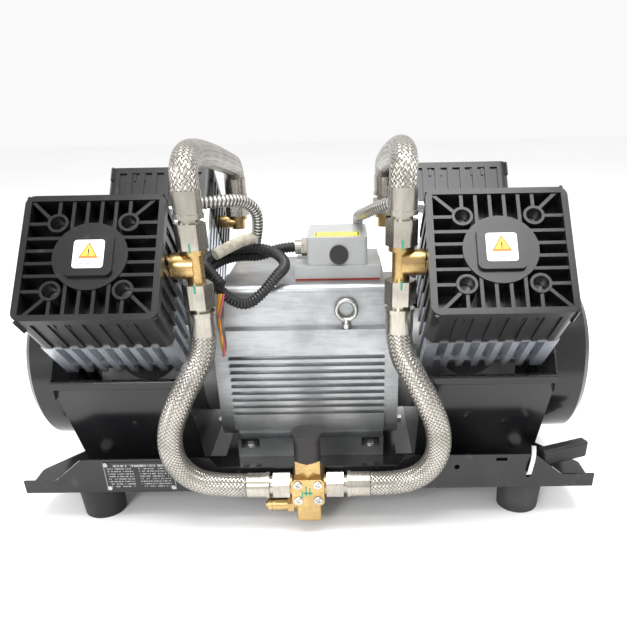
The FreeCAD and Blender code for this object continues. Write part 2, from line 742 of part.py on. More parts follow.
def piston(name, row_name, side, row):
    """One rocking piston: an obround ring round its lobe, a flat rod and the disc that fits the bore."""
    body = new_body(f"piston_{name}_{row_name}")
    open_half = s.throw + s.lobe_round + s.rod_gap
    ring_half = open_half + s.rod_wall
    low = -s.throw * 2
    plane_at = -s.lobe_apart
    top = s.deck + s.cylinder_high - 3 - s.throw * 2
    under = top - s.piston_thick
    web = sketch(body, "YZ_Plane", plane_at)
    rectangle(web, -12, 0, 12, under + 1)
    pad(body, web, s.rod_thick, middle=True)
    for at in (0, low):
        ring = sketch(body, "YZ_Plane", plane_at)
        circle(ring, ring_half, 0, at)
        pad(body, ring, s.rod_thick, middle=True)
    waist = sketch(body, "YZ_Plane", plane_at)
    rectangle(waist, -ring_half, low, ring_half, 0)
    pad(body, waist, s.rod_thick, middle=True)
    disc = sketch(body, lift=under)
    circle(disc, s.bore - s.piston_gap)
    pad(body, disc, s.piston_thick)
    for at in (0, low):
        hole = sketch(body, "YZ_Plane", plane_at)
        circle(hole, open_half, 0, at)
        pocket(body, hole, s.rod_thick + 4, middle=True)
    middle = sketch(body, "YZ_Plane", plane_at)
    rectangle(middle, -open_half, low, open_half, 0)
    pocket(body, middle, s.rod_thick + 4, middle=True)
    to_bank(body, side, row)
    return node(body)


def cylinder(name, row_name, side, row):
    """The bright cylinder: a square block with grooves along its four sides and the bore through it."""
    body = new_body(f"cylinder_{name}_{row_name}")
    wide = s.cylinder_wide / 2
    plan = sketch(body, lift=s.deck)
    rectangle(plan, -wide, -wide, wide, wide)
    pad(body, plan, s.cylinder_high)
    for x_way, y_way in ((1, 0), (-1, 0), (0, 1), (0, -1)):
        groove_row(body, s.deck, s.cylinder_high, wide, wide, s.groove_deep, x_way, y_way)
    bore = sketch(body)
    circle(bore, s.bore)
    for x, y in bolt_places():
        circle(bore, s.bolt_round + s.bolt_slack, x, y)
    pocket(body, bore)
    to_bank(body, side, row)
    return node(body)


GROOVES = 7


def groove_row(body, low, high, half_x, half_y, deep, x_way, y_way):
    """A row of grooves along one side of a square block, running the way the block is padded."""
    start = -s.groove_pitch * (GROOVES - 1) / 2 - s.groove_wide / 2
    row = sketch(body, lift=low)
    if x_way:
        rectangle(row, (half_x - deep) * x_way, start, (half_x + 1) * x_way, start + s.groove_wide)
    else:
        rectangle(row, start, (half_y - deep) * y_way, start + s.groove_wide, (half_y + 1) * y_way)
    first = pocket(body, row, high, backwards=True)
    in_line(body, first, row, "V_Axis" if x_way else "H_Axis", s.groove_pitch * (GROOVES - 1), GROOVES)


def bolt_places():
    return [(s.bolt_across * x, s.bolt_up * y) for x in (-1, 1) for y in (-1, 1)]


def valve_plates():
    plates = []
    for name, side in SIDES:
        for row_name, row in ROWS:
            body = new_body(f"valve_plate_{name}_{row_name}")
            wide = s.cylinder_wide / 2
            plan = sketch(body, lift=s.deck + s.cylinder_high)
            rectangle(plan, -wide, -wide, wide, wide)
            for x, y in bolt_places():
                circle(plan, s.bolt_round + s.bolt_slack, x, y)
            for x in (-14, 14):
                circle(plan, 6, x, 0)
            pad(body, plan, s.plate_thick)
            to_bank(body, side, row)
            plates.append(body)
    return node(group("valve_plates", plates))


def head(name, row_name, side, row):
    """The black cast head: ribs and screw tubes in a deep square tray round a raised middle."""
    body = new_body(f"head_{name}_{row_name}")
    low = s.deck + s.cylinder_high + s.plate_thick
    half_x = s.head_wide / 2
    half_y = s.head_tall / 2
    plan = sketch(body, lift=low)
    rectangle(plan, -half_x, -half_y, half_x, half_y)
    pad(body, plan, s.head_high)
    dress(body, "Fillet", s.head_corner, lambda e: along(e, Z_WAY))
    for x_way, y_way in ((1, 0), (-1, 0), (0, 1), (0, -1)):
        groove_row(body, low, s.head_high - 8, half_x, half_y, s.groove_clear, x_way, y_way)
    well = sketch(body, lift=face)
    rectangle(well, s.head_rim - half_x, s.head_rim - half_y, half_x - s.head_rim, half_y - s.head_rim)
    pocket(body, well, s.pocket_deep)
    chambers = sketch(body, lift=low)
    for way in (-1, 1):
        rectangle(chambers, 3 * way, -20, 28 * way, 20)
    pocket(body, chambers, s.chamber_deep, backwards=True)
    label = f"head_{name}_{row_name}"
    body.Label = f"{label}_casting"
    floor = face - s.pocket_deep
    low_rib = floor - 0.5
    high_rib = face - 1
    thin = s.rib_thick / 2
    reach_x = half_x - 1
    reach_y = half_y - 1
    ribs = []
    for share in (-0.15, -0.05, 0.05, 0.15):
        at = s.head_wide * share
        ribs.append(box(f"{label}_upright", at - thin, -reach_y, low_rib, at + thin, reach_y, high_rib))
        at = s.head_tall * share
        ribs.append(box(f"{label}_level", -reach_x, at - thin, low_rib, reach_x, at + thin, high_rib))
    for x, y in bolt_places():
        for left, right in sides_of(x, reach_x):
            ribs.append(box(f"{label}_arm", left, y - thin, low_rib, right, y + thin, high_rib))
        for front, rear in sides_of(y, reach_y):
            ribs.append(box(f"{label}_arm", x - thin, front, low_rib, x + thin, rear, high_rib))
        slant = box(f"{label}_slant", 0, -thin, low_rib, (half_x - s.bolt_across) * 1.3, thin, high_rib)
        way = math.degrees(math.atan2(math.copysign(1, y.value), math.copysign(1, x.value)))
        ribs.append(place(slant, x, y, low_rib, FreeCAD.Rotation(Z_WAY, way)))
        ribs.append(rod(f"{label}_tube", s.tube_out, s.pocket_deep + 0.5, x, y, low_rib))
    ribs.append(rod(f"{label}_disc", s.face_round, s.pocket_deep + 0.5, 0, 0, low_rib))
    boss = new_body(f"{label}_boss")
    plan = sketch(boss, lift=floor)
    rectangle(plan, -s.boss_half, -s.boss_half, s.boss_half, s.boss_half)
    pad(boss, plan, s.pocket_deep + s.boss_high)
    dress(boss, "Fillet", 6, lambda e: along(e, Z_WAY))
    cuts = []
    for x, y in bolt_places():
        cuts.append(rod(f"{label}_well", s.tube_in, s.pocket_deep + 6, x, y, floor - 4))
        cuts.append(rod(f"{label}_screw_way", s.bolt_round + s.bolt_slack, s.head_high, x, y, low - 1))
    inward = side * row
    cuts.append(rod(f"{label}_port", s.port_round + 0.2, half_x + 1, 0, port_shift(row),
                    s.deck + s.port_reach, X_WAY * inward))
    made = cut(label, fuse(f"{label}_whole", [body, boss] + ribs), fuse(f"{label}_cuts", cuts))
    to_bank(made, side, row)
    return node(made, label)


def sides_of(at, reach):
    """The stretch from at to the rim on its own side of the middle, lowest first."""
    return [(at, reach)] if at.value > 0 else [(-reach, at)]


def port_shift(row):
    return s.port_shift if row < 0 else s.rear_shift


def head_bolts():
    bolts = []
    seat = face - s.pocket_deep - 4
    for name, side in SIDES:
        for row_name, row in ROWS:
            for x, y in bolt_places():
                label = f"head_bolt_{len(bolts)}"
                cap = rod(f"{label}_cap", s.tube_in - 0.6, 8, x, y, seat)
                shank = rod(f"{label}_shank", s.bolt_round, 60, x, y, seat - 60)
                bolts.append(to_bank(fuse(label, [cap, shank]), side, row))
    return node(group("head_bolts", bolts))


def fan(name, side):
    """A seven-bladed cooling fan keyed to the end of the shaft."""
    body = new_body(f"fan_{name}")
    hub = sketch(body, "YZ_Plane")
    circle(hub, s.fan_hub)
    pad(body, hub, s.fan_wide, middle=True)
    blade = sketch(body, "XY_Plane", s.fan_hub - 2)
    along_x = cosine(s.fan_pitch) * s.blade_chord / 2
    along_y = sine(s.fan_pitch) * s.blade_chord / 2 * side
    thick_x = sine(s.fan_pitch) * s.blade_thick / 2
    thick_y = cosine(s.fan_pitch) * s.blade_thick / 2 * side
    outline(blade, [(-along_x - thick_x, thick_y - along_y), (thick_x - along_x, -along_y - thick_y),
                    (along_x + thick_x, along_y - thick_y), (along_x - thick_x, along_y + thick_y)])
    first = pad(body, blade, s.fan_round - s.fan_hub + 2)
    around(body, first, hub, "N_Axis", s.fan_blades)
    bore = sketch(body, "YZ_Plane")
    circle(bore, s.crank_round + s.fit_gap)
    pocket(body, bore)
    place(body, s.fan_place * side, 0, s.axis_high)
    return node(body)


def fan_drum(name, side):
    """The round sheet-metal drum that the fan turns in, with a slotted outer end."""
    body = new_body(f"fan_drum_{name}")
    start = s.guide_out
    end = s.drum_end
    wall = s.drum_sheet
    radius = s.drum_round
    profile = sketch(body, "XZ_Plane")
    outline(profile, [(start, radius - wall), (start, radius + 7), (start + wall, radius + 7),
                      (start + wall, radius), (end - 6, radius), (end, radius - 6), (end, 0),
                      (end - wall, 0), (end - wall, radius - 6.7), (end - 6.7, radius - wall)])
    turned(body, profile)
    slot = sketch(body, "YZ_Plane", end)
    outline(slot, [(-5, 30), (5, 30), (9, radius - 14), (-9, radius - 14)])
    first = pocket(body, slot, wall + 3)
    around(body, first, slot, "N_Axis", 16)
    turn = FreeCAD.Rotation() if side > 0 else FreeCAD.Rotation(Z_WAY, 180)
    place(body, 0, 0, s.axis_high, turn)
    return node(body)


def air_guide(name, side):
    """The black sheet funnel round a crankcase: a V that stands on the tray, open under the cylinders."""
    body = new_body(f"air_guide_{name}")
    sheet_thick = s.guide_sheet
    low = tray_top
    high = s.lip_high
    slope = (s.guide_lip - s.guide_foot) / (high - low)
    wide = s.guide_out - s.guide_in
    solid = sketch(body, "YZ_Plane", s.guide_in)
    outline(solid, [(-s.guide_foot, low), (s.guide_foot, low), (s.guide_lip, high), (-s.guide_lip, high)])
    pad(body, solid, wide)
    for way in (-1, 1):
        hem = sketch(body, "YZ_Plane", s.guide_in)
        rectangle(hem, (s.guide_lip - s.lip_thick) * way, high - s.lip_band, (s.guide_lip + 2) * way, high)
        pad(body, hem, wide)
    dress(body, "Fillet", 1.8, lambda e: along(e, X_WAY) and near(
        abs(e.Vertexes[0].Y), s.guide_lip + 2))
    hollow = sketch(body, "YZ_Plane", s.guide_in + sheet_thick)
    step = sheet_thick * 1.1
    outline(hollow, [(step - s.guide_foot + slope * 2, low + 2), (s.guide_foot - step + slope * 2, low + 2),
                     (s.guide_lip - s.lip_thick, high + 1), (s.lip_thick - s.guide_lip, high + 1)])
    pocket(body, hollow, wide - sheet_thick * 2, backwards=True)
    cheek = sketch(body, "YZ_Plane", s.guide_out)
    top = high + s.guide_lip - s.cheek_half
    outline(cheek, [(-s.guide_lip, high - 20), (s.guide_lip, high - 20), (s.guide_lip, high),
                    (s.cheek_half, top), (-s.cheek_half, top), (-s.guide_lip, high)])
    pad(body, cheek, sheet_thick, backwards=True)
    fan_hole = sketch(body, "YZ_Plane", s.guide_out)
    circle(fan_hole, s.drum_round - s.drum_sheet - 1, 0, s.axis_high)
    pocket(body, fan_hole, sheet_thick * 2)
    case_hole = sketch(body, "YZ_Plane", s.guide_in)
    circle(case_hole, s.case_round + 0.5, 0, s.axis_high)
    pocket(body, case_hole, sheet_thick * 2, backwards=True)
    floor_hole = sketch(body, "XY_Plane", low)
    rectangle(floor_hole, s.guide_in + 20, 30 - s.guide_foot, s.guide_out - 20, s.guide_foot - 30)
    pocket(body, floor_hole, 4, backwards=True)
    turn = FreeCAD.Rotation() if side > 0 else FreeCAD.Rotation(Z_WAY, 180)
    place(body, 0, 0, 0, turn)
    return node(body)


# ---- pipework -----------------------------------------------------------------------------------

def port_at(side, row):
    """The middle of a head's port, on the head's inner side."""
    return bank_point(side, row, s.head_wide / 2, port_shift(row), s.deck + s.port_reach)


def fitting(label, side, row, up, down, thick):
    """A brass tee or elbow screwed into a head: a short branch and a vertical run."""
    port = port_at(side, row)
    x = s.tee_out * side
    inward = X_WAY * side
    reach = abs(port.x) - s.tee_out
    run = rod(f"{label}_run", s.tee_round, up + down, x, port.y, port.z - down)
    collar = rod(f"{label}_collar", s.branch_round, 5, x, port.y, port.z + up - 5)
    branch = rod(f"{label}_branch", thick, reach, x, port.y, port.z, inward)
    spigot = rod(f"{label}_spigot", s.port_round, reach + 9, x, port.y, port.z, inward)
    body = fuse(f"{label}_solid", [run, collar, branch, spigot])
    passage = rod(f"{label}_passage", s.port_round - 2.5, up + down + 2, x, port.y, port.z - down - 1)
    if row > 0:
        passage = rod(f"{label}_up", s.port_round - 2.5, up + 2, x, port.y, port.z)
    across = rod(f"{label}_across", s.port_round - 2.5, reach + 12, x, port.y, port.z, inward)
    return cut(label, body, fuse(f"{label}_ways", [passage, across]))


def head_tees():
    node(group("head_tees", [fitting(f"tee_{name}", side, -1, s.tee_half, s.tee_half, s.branch_round)
                             for name, side in SIDES]))
    node(group("rear_elbows", [fitting(f"elbow_{name}", side, 1, s.rear_arm, s.tee_round, s.tee_round - 0.4)
                               for name, side in SIDES]))


def hose_ends():
    """Every end of the braided hoses: where it starts, which way it leaves, and its nut's length."""
    ends = []
    for name, side in SIDES:
        front = port_at(side, -1)
        rear = port_at(side, 1)
        x = s.tee_out * side
        ends.append((f"top_{name}", vec(x, front.y, front.z + s.tee_half), Z_WAY, s.nut_high))
        ends.append((f"low_{name}", vec(x, front.y, front.z - s.tee_half), Z_WAY * -1, s.nut_high))
        ends.append((f"rear_{name}", vec(x, rear.y, rear.z + s.rear_arm), Z_WAY, s.port_nut))
        start = vec(s.block_shift + (s.block_wide / 2 + 2.5) * side, block_y, s.block_up)
        ends.append((f"port_{name}", start, X_WAY * side, s.port_nut))
    return ends


block_y = -back - s.block_deep / 2


def hose_nuts():
    nuts = []
    ferrules = []
    for name, at, way, long in hose_ends():
        hexa = hexagon(f"nut_solid_{name}", s.nut_flats, long, at.x, at.y, at.z, way)
        dome = rod(f"nut_dome_{name}", s.nut_flats * 0.56, long, at.x, at.y, at.z, way)
        both = doc.addObject("Part::Common", f"nut_body_{name}")
        both.Base = hexa
        both.Tool = dome
        hole = rod(f"nut_hole_{name}", s.port_round, long + 2, *(at - way), way)
        nuts.append(cut(f"nut_{name}", both, hole))
        neck_at = at + way * float(long)
        neck = rod(f"neck_tail_{name}", s.ferrule_round - 3.5, s.ferrule_gap, *neck_at, way)
        barrel_at = neck_at + way * float(s.ferrule_gap)
        barrel = rod(f"ferrule_barrel_{name}", s.ferrule_round, s.ferrule_long, *barrel_at, way)
        bead = rod(f"ferrule_bead_{name}", s.ferrule_round + 0.9, 4, *barrel_at, way)
        bore = rod(f"ferrule_bore_{name}", s.port_round - 1, s.ferrule_long + s.ferrule_gap + 2,
                   *(neck_at - way), way)
        ferrules.append(cut(f"ferrule_{name}", fuse(f"ferrule_solid_{name}", [neck, barrel, bead]), bore))
    node(group("hose_nuts", nuts))
    node(group("hose_ferrules", ferrules))


def hose_start(wanted):
    for name, at, way, long in hose_ends():
        if name == wanted:
            return at + way * float(long + s.ferrule_gap + s.ferrule_long)


def tube(label, radius, points):
    """A hose's tube: straight runs joined by tangent arcs, swept as one solid."""
    edges = []
    at = points[0]
    tightest = None
    for before, corner, after in zip(points, points[1:], points[2:]):
        back_way = before - corner
        on_way = after - corner
        turn = math.pi - back_way.getAngle(on_way)
        reach = 0.45 * min(back_way.Length, on_way.Length)
        bend = reach / math.tan(turn / 2)
        tightest = bend if tightest is None else min(bend, tightest)
        back_way.normalize()
        on_way.normalize()
        first = corner + back_way * reach
        last = corner + on_way * reach
        middle = back_way + on_way
        middle.normalize()
        centre = corner + middle * (bend / math.cos(turn / 2))
        edges.append(Part.LineSegment(at, first).toShape())
        edges.append(Part.Arc(first, centre - middle * bend, last).toShape())
        at = last
    edges.append(Part.LineSegment(at, points[-1]).toShape())
    path = Part.Wire(edges)
    start_way = points[1] - points[0]
    ring = Part.Wire([Part.makeCircle(float(radius), points[0], start_way)])
    solid = path.makePipeShell([ring], True, False)
    expected = math.pi * float(radius) ** 2 * path.Length
    print(f"{label}: {path.Length:.0f} mm long, tightest bend {tightest:.0f} mm, "
          f"volume {solid.Volume / expected:.4f} of section times length")
    made = doc.addObject("Part::Feature", label)
    made.Shape = solid
    return node(made, label)


# the hoses' routes between their ferrules, drawn for the right side; the left is mirrored
ARCH_ROUTE = [(98, -131, 369), (99, -104, 378), (99, -52, 375), (98, 0, 368), (97, 52, 360),
              (97, 104, 351), (97, 139, 346)]
FEED_ROUTE = [(98, -142, 198), (110, -156, 180), (124, -166, 156), (138, -169, 124), (139, -168, 92),
              (124, -165, 67), (98, -163, 56)]


def hoses():
    for name, side in SIDES:
        route = [vec(x * side, y, z) for x, y, z in ARCH_ROUTE]
        tube(f"arch_hose_{name}", s.hose_round - 0.2,
             [hose_start(f"top_{name}")] + route + [hose_start(f"rear_{name}")])
        route = [vec(x * side, y, z) for x, y, z in FEED_ROUTE]
        tube(f"feed_hose_{name}", s.hose_round - 0.2,
             [hose_start(f"low_{name}")] + route + [hose_start(f"port_{name}")])


# thin armoured conduits from the front heads
CONDUIT_LEFT = [(-113, -100, 332), (-92, -97, 334), (-71, -88, 335), (-56, -68, 332), (-46, -51, 320),
                (-47, -40, 301), (-52, -31, 285)]
CONDUIT_RIGHT = [(113, -100, 332), (97, -90, 332), (80, -66, 324), (65, -28, 311), (61, 12, 303),
                 (60, 41, 296), (60, 54, 279), (60, 50, 268)]


def loom_route():
    """From the gland into a tied coil: an oval that droops in front of the motor's upper edge."""
    centre_x = s.loom_out.value
    centre_y = s.loom_front.value
    route = [vec(s.box_left - 1, -11, gland_up), vec(s.box_left - 17, -12, gland_up)]
    for step in range(22):
        turn = math.radians(75 + 25 * step)
        turns = 25 * step / 360
        rise = math.sin(turn)
        droop = 12 * rise if rise > 0 else -30.6 * rise ** 4
        deep = 32 if rise > 0 else 34
        route.append(vec(centre_x + s.loom_half.value * math.cos(turn), centre_y + deep * rise - 6 * turns,
                         s.axis_high + s.motor_top + 7.6 + droop + 10.7 * turns))
    return route


def conduits():
    tube("conduit_left", s.pipe_round, [vec(*p) for p in CONDUIT_LEFT])
    tube("conduit_right", s.pipe_round, [vec(*p) for p in CONDUIT_RIGHT])
    tube("wiring_loom", s.loom_round, loom_route())


def manifold():
    """The brass cross block on the tray's front, with its outlet above and drain elbow below."""
    x = s.block_shift
    low = s.block_up - s.block_high / 2
    high = s.block_up + s.block_high / 2
    body = new_body("manifold_solid")
    plan = sketch(body, "XZ_Plane", back)
    rectangle(plan, x - s.block_wide / 2, low, x + s.block_wide / 2, high)
    pad(body, plan, s.block_deep)
    dress(body, "Chamfer", 3, lambda e: along(e, Y_WAY))
    bosses = [rod(f"port_boss_{name}", 11, s.block_wide / 2 + 2.5, x, block_y, s.block_up, X_WAY * side)
              for name, side in SIDES]
    ways = [rod("block_across", s.port_round - 2, s.block_wide + 20, x - s.block_wide / 2 - 10, block_y,
                s.block_up, X_WAY),
            rod("block_upright", s.port_round - 2, s.block_high + 20, x, block_y, low - 10)]
    screws = [rod(f"block_screw_{i}", 2.6, s.block_deep + 2, x + 10.5 * a, -back + 1,
                  s.block_up + 9.5 * b, Y_WAY * -1)
              for i, (a, b) in enumerate([(-1, -1), (1, -1), (-1, 1), (1, 1)])]
    node(cut("manifold_block", fuse("manifold_outer", [body] + bosses), fuse("block_ways", ways + screws)))
    hexa = hexagon("nipple_hex", s.nipple_flats, s.nipple_high, x, block_y, high)
    hexa.Placement = FreeCAD.Placement(vec(x, block_y, high), FreeCAD.Rotation(Z_WAY, 30))
    stem = rod("nipple_stem", s.nipple_stem, s.nipple_high + s.cap_high - 6, x, block_y, high)
    hole = rod("nipple_hole", s.port_round - 2, 80, x, block_y, high - 1)
    nipple = cut("outlet_nipple", fuse("nipple_solid", [hexa, stem]), hole)
    elbow_body = new_body("drain_elbow")
    plan = sketch(elbow_body, lift=low)
    rectangle(plan, x - s.elbow_wide / 2, block_y - s.elbow_wide / 2, x + s.elbow_wide / 2,
              block_y + s.elbow_wide / 2)
    pad(elbow_body, plan, s.elbow_high, backwards=True)
    dress(elbow_body, "Fillet", 4, lambda e: not near(e.BoundBox.Center.z, low))
    valve_hole = rod("drain_way", s.valve_round - 2.5, s.elbow_wide, x, block_y, valve_up, X_WAY * -1)
    down_hole = rod("drain_down", s.port_round - 2, 10, x, block_y, low + 1, Z_WAY * -1)
    elbow = cut("drain_elbow_bored", elbow_body, fuse("drain_ways", [valve_hole, down_hole]))
    node(group("manifold_fittings", [nipple, elbow]))
    # the small relief valve that points left out of the drain elbow, and its pull ring
    start = x - s.elbow_wide / 2
    neck = rod("valve_neck", s.valve_round - 2, 3, start, block_y, valve_up, X_WAY * -1)
    hexa = hexagon("valve_hex", s.valve_round * 2.1, 7, start - 3, block_y, valve_up, X_WAY * -1)
    barrel = rod("valve_barrel", s.valve_round - 0.6, 17, start - 10, block_y, valve_up, X_WAY * -1)
    bore = rod("valve_bore", 3.2, 40, start - 3, block_y, valve_up, X_WAY * -1)
    node(cut("relief_valve", fuse("valve_solid", [neck, hexa, barrel]), bore))
    pin_rod = rod("ring_pin", 3.1, 22, start - 12, block_y, valve_up, X_WAY * -1)
    knob = rod("ring_knob", s.valve_round - 0.6, 4, start - 27.4, block_y, valve_up, X_WAY * -1)
    node(fuse("relief_knob", [pin_rod, knob]))
    cap_low = high + s.nipple_high + 0.3
    outside = rod("cap_outside", s.cap_round, s.cap_high - 4, x, block_y, cap_low)
    rim = rod("cap_rim", s.cap_top_round, 5, x, block_y, cap_low + s.cap_high - 5)
    inside = rod("cap_inside", s.nipple_stem + 0.06, s.cap_high - 3, x, block_y, cap_low - 1)
    node(cut("outlet_cap", fuse("cap_solid", [outside, rim]), inside))


valve_up = s.block_up - s.block_high / 2 - s.elbow_high / 2 + 3.4


# ---- building everything ------------------------------------------------------------------------

base_tray()
rubber_feet()
tray_bolts()
nameplate()
capacitor()
motor_housing()
for side_name, side_way in SIDES:
    end_shield(side_name, side_way)
shield_bolts()
stator()
shaft()
eye_bolt()
terminal_box()
for side_name, side_way in SIDES:
    crankcase(side_name, side_way)
    fan(side_name, side_way)
    fan_drum(side_name, side_way)
    air_guide(side_name, side_way)
    for row_label, row_way in ROWS:
        cylinder(side_name, row_label, side_way, row_way)
        head(side_name, row_label, side_way, row_way)
        piston(side_name, row_label, side_way, row_way)
eccentrics()
valve_plates()
head_bolts()
head_tees()
hose_nuts()
hoses()
conduits()
manifold()

doc.recompute()
failed = [f"{o.Label}: {o.State}" for o in doc.Objects if {"Invalid", "Error"} & set(o.State)]
failed += [f"{n.Label}: no valid shape" for n in nodes if n.Shape.isNull() or not n.Shape.isValid()]
if failed:
    raise RuntimeError("; ".join(failed))
for n in nodes:
    n.Shape.exportStep(f"parts/{n.Label}.step")
print(len(nodes), "nodes written")
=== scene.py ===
import json
import math
import bpy
import numpy as np
from mathutils import Matrix, Vector


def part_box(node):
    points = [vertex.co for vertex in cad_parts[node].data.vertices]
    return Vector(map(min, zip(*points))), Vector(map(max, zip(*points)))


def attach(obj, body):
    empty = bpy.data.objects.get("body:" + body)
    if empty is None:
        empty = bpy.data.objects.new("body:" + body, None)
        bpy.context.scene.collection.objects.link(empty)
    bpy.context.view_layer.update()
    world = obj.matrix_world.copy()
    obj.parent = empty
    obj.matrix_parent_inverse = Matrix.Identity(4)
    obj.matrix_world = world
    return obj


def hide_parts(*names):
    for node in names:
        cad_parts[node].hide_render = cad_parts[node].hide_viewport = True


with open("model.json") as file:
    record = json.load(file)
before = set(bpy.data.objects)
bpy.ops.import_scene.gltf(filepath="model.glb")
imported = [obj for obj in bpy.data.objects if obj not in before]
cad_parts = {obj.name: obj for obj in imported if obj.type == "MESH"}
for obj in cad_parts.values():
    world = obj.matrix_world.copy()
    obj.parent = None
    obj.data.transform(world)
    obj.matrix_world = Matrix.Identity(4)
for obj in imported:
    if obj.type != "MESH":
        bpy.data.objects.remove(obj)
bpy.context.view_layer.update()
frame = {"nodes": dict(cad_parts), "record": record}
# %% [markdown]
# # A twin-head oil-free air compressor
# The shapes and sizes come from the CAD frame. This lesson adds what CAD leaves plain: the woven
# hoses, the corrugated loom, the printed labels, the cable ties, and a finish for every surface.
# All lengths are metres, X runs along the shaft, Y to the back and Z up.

nodes = frame["nodes"]
print("the frame holds", len(nodes), "pieces")

# %% [markdown]
# ## The camera
# A camera is a place, three turns and a lens. It stands in front of the machine and looks down at it.
# The small shift slides the picture without turning the camera, as a view camera's rising front does.

# %% The camera
EYE = Vector((0.04495, -0.74919, 0.42673))
YAW, PITCH, ROLL = (math.radians(a) for a in (-0.62, 29.14, 1.11))
SENSOR = 36.0
ahead = Vector((math.sin(YAW) * math.cos(PITCH), math.cos(YAW) * math.cos(PITCH), -math.sin(PITCH)))
level = Vector((math.cos(YAW), -math.sin(YAW), 0))
below = ahead.cross(level)
right = level * math.cos(ROLL) + below * math.sin(ROLL)
down = below * math.cos(ROLL) - level * math.sin(ROLL)
lens = bpy.data.cameras.new("camera")
lens.sensor_fit = "HORIZONTAL"
lens.sensor_width = SENSOR
lens.lens = SENSOR * 1.0251
lens.shift_x = -0.0456
lens.shift_y = 0.2063
lens.clip_start = 0.01
camera = bpy.data.objects.new("camera", lens)
camera.matrix_world = Matrix.Translation(EYE) @ Matrix((right, -down, -ahead)).transposed().to_4x4()
bpy.context.scene.collection.objects.link(camera)
bpy.context.scene.camera = camera
print("camera", round(lens.lens, 1), "mm lens")

# %% [markdown]
# ## Surfaces from grids
# Every new piece is a grid of points: one count goes along it, the other round it. The whole grid is
# worked out at once as an array, and the faces join each point to its neighbours. A grid keeps its
# own two coordinates as a UV map, so that a weave or a print can follow the surface.

# %% Helper: a grid becomes a piece
def skin(name, grid, u, v, capped=True, body="frame"):
    """Joins grid[i, j] to its neighbours; the second count closes on itself, the ends get caps."""
    rows, columns = grid.shape[:2]
    i, j = np.meshgrid(np.arange(rows - 1), np.arange(columns), indexing="ij")
    k = (j + 1) % columns
    quads = np.stack([i * columns + j, i * columns + k, (i + 1) * columns + k, (i + 1) * columns + j], -1)
    faces = quads.reshape(-1, 4).tolist()
    if capped:
        faces += [list(range(columns))[::-1], list(range((rows - 1) * columns, rows * columns))]
    mesh = bpy.data.meshes.new(name)
    mesh.from_pydata(grid.reshape(-1, 3).tolist(), [], faces)
    corner_u = np.stack([u[i], u[i], u[i + 1], u[i + 1]], -1).ravel()
    corner_v = np.stack([v[j], v[j + 1], v[j + 1], v[j]], -1).ravel()
    layer = mesh.uv_layers.new(name="Along")
    wanted = np.zeros((len(mesh.loops), 2))
    wanted[:len(corner_u)] = np.stack([corner_u, corner_v], -1)
    layer.data.foreach_set("uv", wanted.ravel())
    smooth = np.ones(len(mesh.polygons), dtype=bool)
    smooth[len(quads.reshape(-1, 4)):] = False
    mesh.polygons.foreach_set("use_smooth", smooth)
    mesh.update()
    piece = bpy.data.objects.new(name, mesh)
    bpy.context.scene.collection.objects.link(piece)
    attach(piece, body)
    return piece


def unit(a):
    return a / np.linalg.norm(a, axis=-1, keepdims=True)


# %% [markdown]
# ## Hoses, conduits and the loom
# A hose is a fixed length of something springy, so its line is one smooth curve. The route's points
# pull on a NURBS curve, which rounds every corner by itself. The tube's skin is then a circle carried
# along that curve, and a wave along it makes the rings of a corrugated tube or the turns of a spiral.

# %% Helper: a tube along a route
def centreline(points, step):
    """A NURBS curve of order 3 pulled by the route's points, read off every step metres."""
    data = bpy.data.curves.new("route", "CURVE")
    data.dimensions = "3D"
    data.resolution_u = 32
    line = data.splines.new("NURBS")
    line.points.add(len(points) - 1)
    line.points.foreach_set("co", np.c_[points, np.ones(len(points))].ravel())
    line.order_u = 3
    line.use_endpoint_u = True
    line.resolution_u = 32
    guide = bpy.data.objects.new("route", data)
    bpy.context.scene.collection.objects.link(guide)
    mesh = bpy.data.meshes.new_from_object(guide)
    found = np.empty(len(mesh.vertices) * 3)
    mesh.vertices.foreach_get("co", found)
    bpy.data.objects.remove(guide)
    found = found.reshape(-1, 3)
    along = np.r_[0, np.cumsum(np.linalg.norm(np.diff(found, axis=0), axis=1))]
    even = np.linspace(0, along[-1], max(8, round(along[-1] / step)))
    return np.stack([np.interp(even, along, found[:, a]) for a in range(3)], -1), even


def tube(name, points, radius, wave, step, across, sides=48):
    """A circle whose radius is radius + wave(s, turn), carried along the route at right angles."""
    path, s = centreline(points, step)
    ahead_way = unit(np.gradient(path, axis=0))
    side_way = unit(np.cross(ahead_way, across))
    up_way = np.cross(side_way, ahead_way)
    turn = np.arange(sides) / sides
    angle = 2 * np.pi * turn[None, :, None]
    reach = radius + wave(s[:, None], turn[None, :])
    grid = path[:, None] + reach[..., None] * (np.cos(angle) * side_way[:, None]
                                              + np.sin(angle) * up_way[:, None])
    piece = skin(name, grid[:, ::-1], s, np.arange(sides + 1)[::-1] / sides)
    print(name, "is", round(s[-1] * 1000), "mm long")
    return piece, path, s


def plain_wave(s, turn):
    """The braid itself is too fine for the mesh, so its hose is a plain tube."""
    return 0 * s + 0 * turn


def ring_wave(s, turn):
    """Rings 3.4 mm apart."""
    return 0.0006 * np.cos(2 * np.pi * s / 0.0034) + 0 * turn - 0.0006


def spiral_wave(s, turn):
    """One ridge that winds round the tube every 4 mm."""
    return 0.00045 * np.cos(2 * np.pi * (s / 0.004 - turn)) - 0.0005


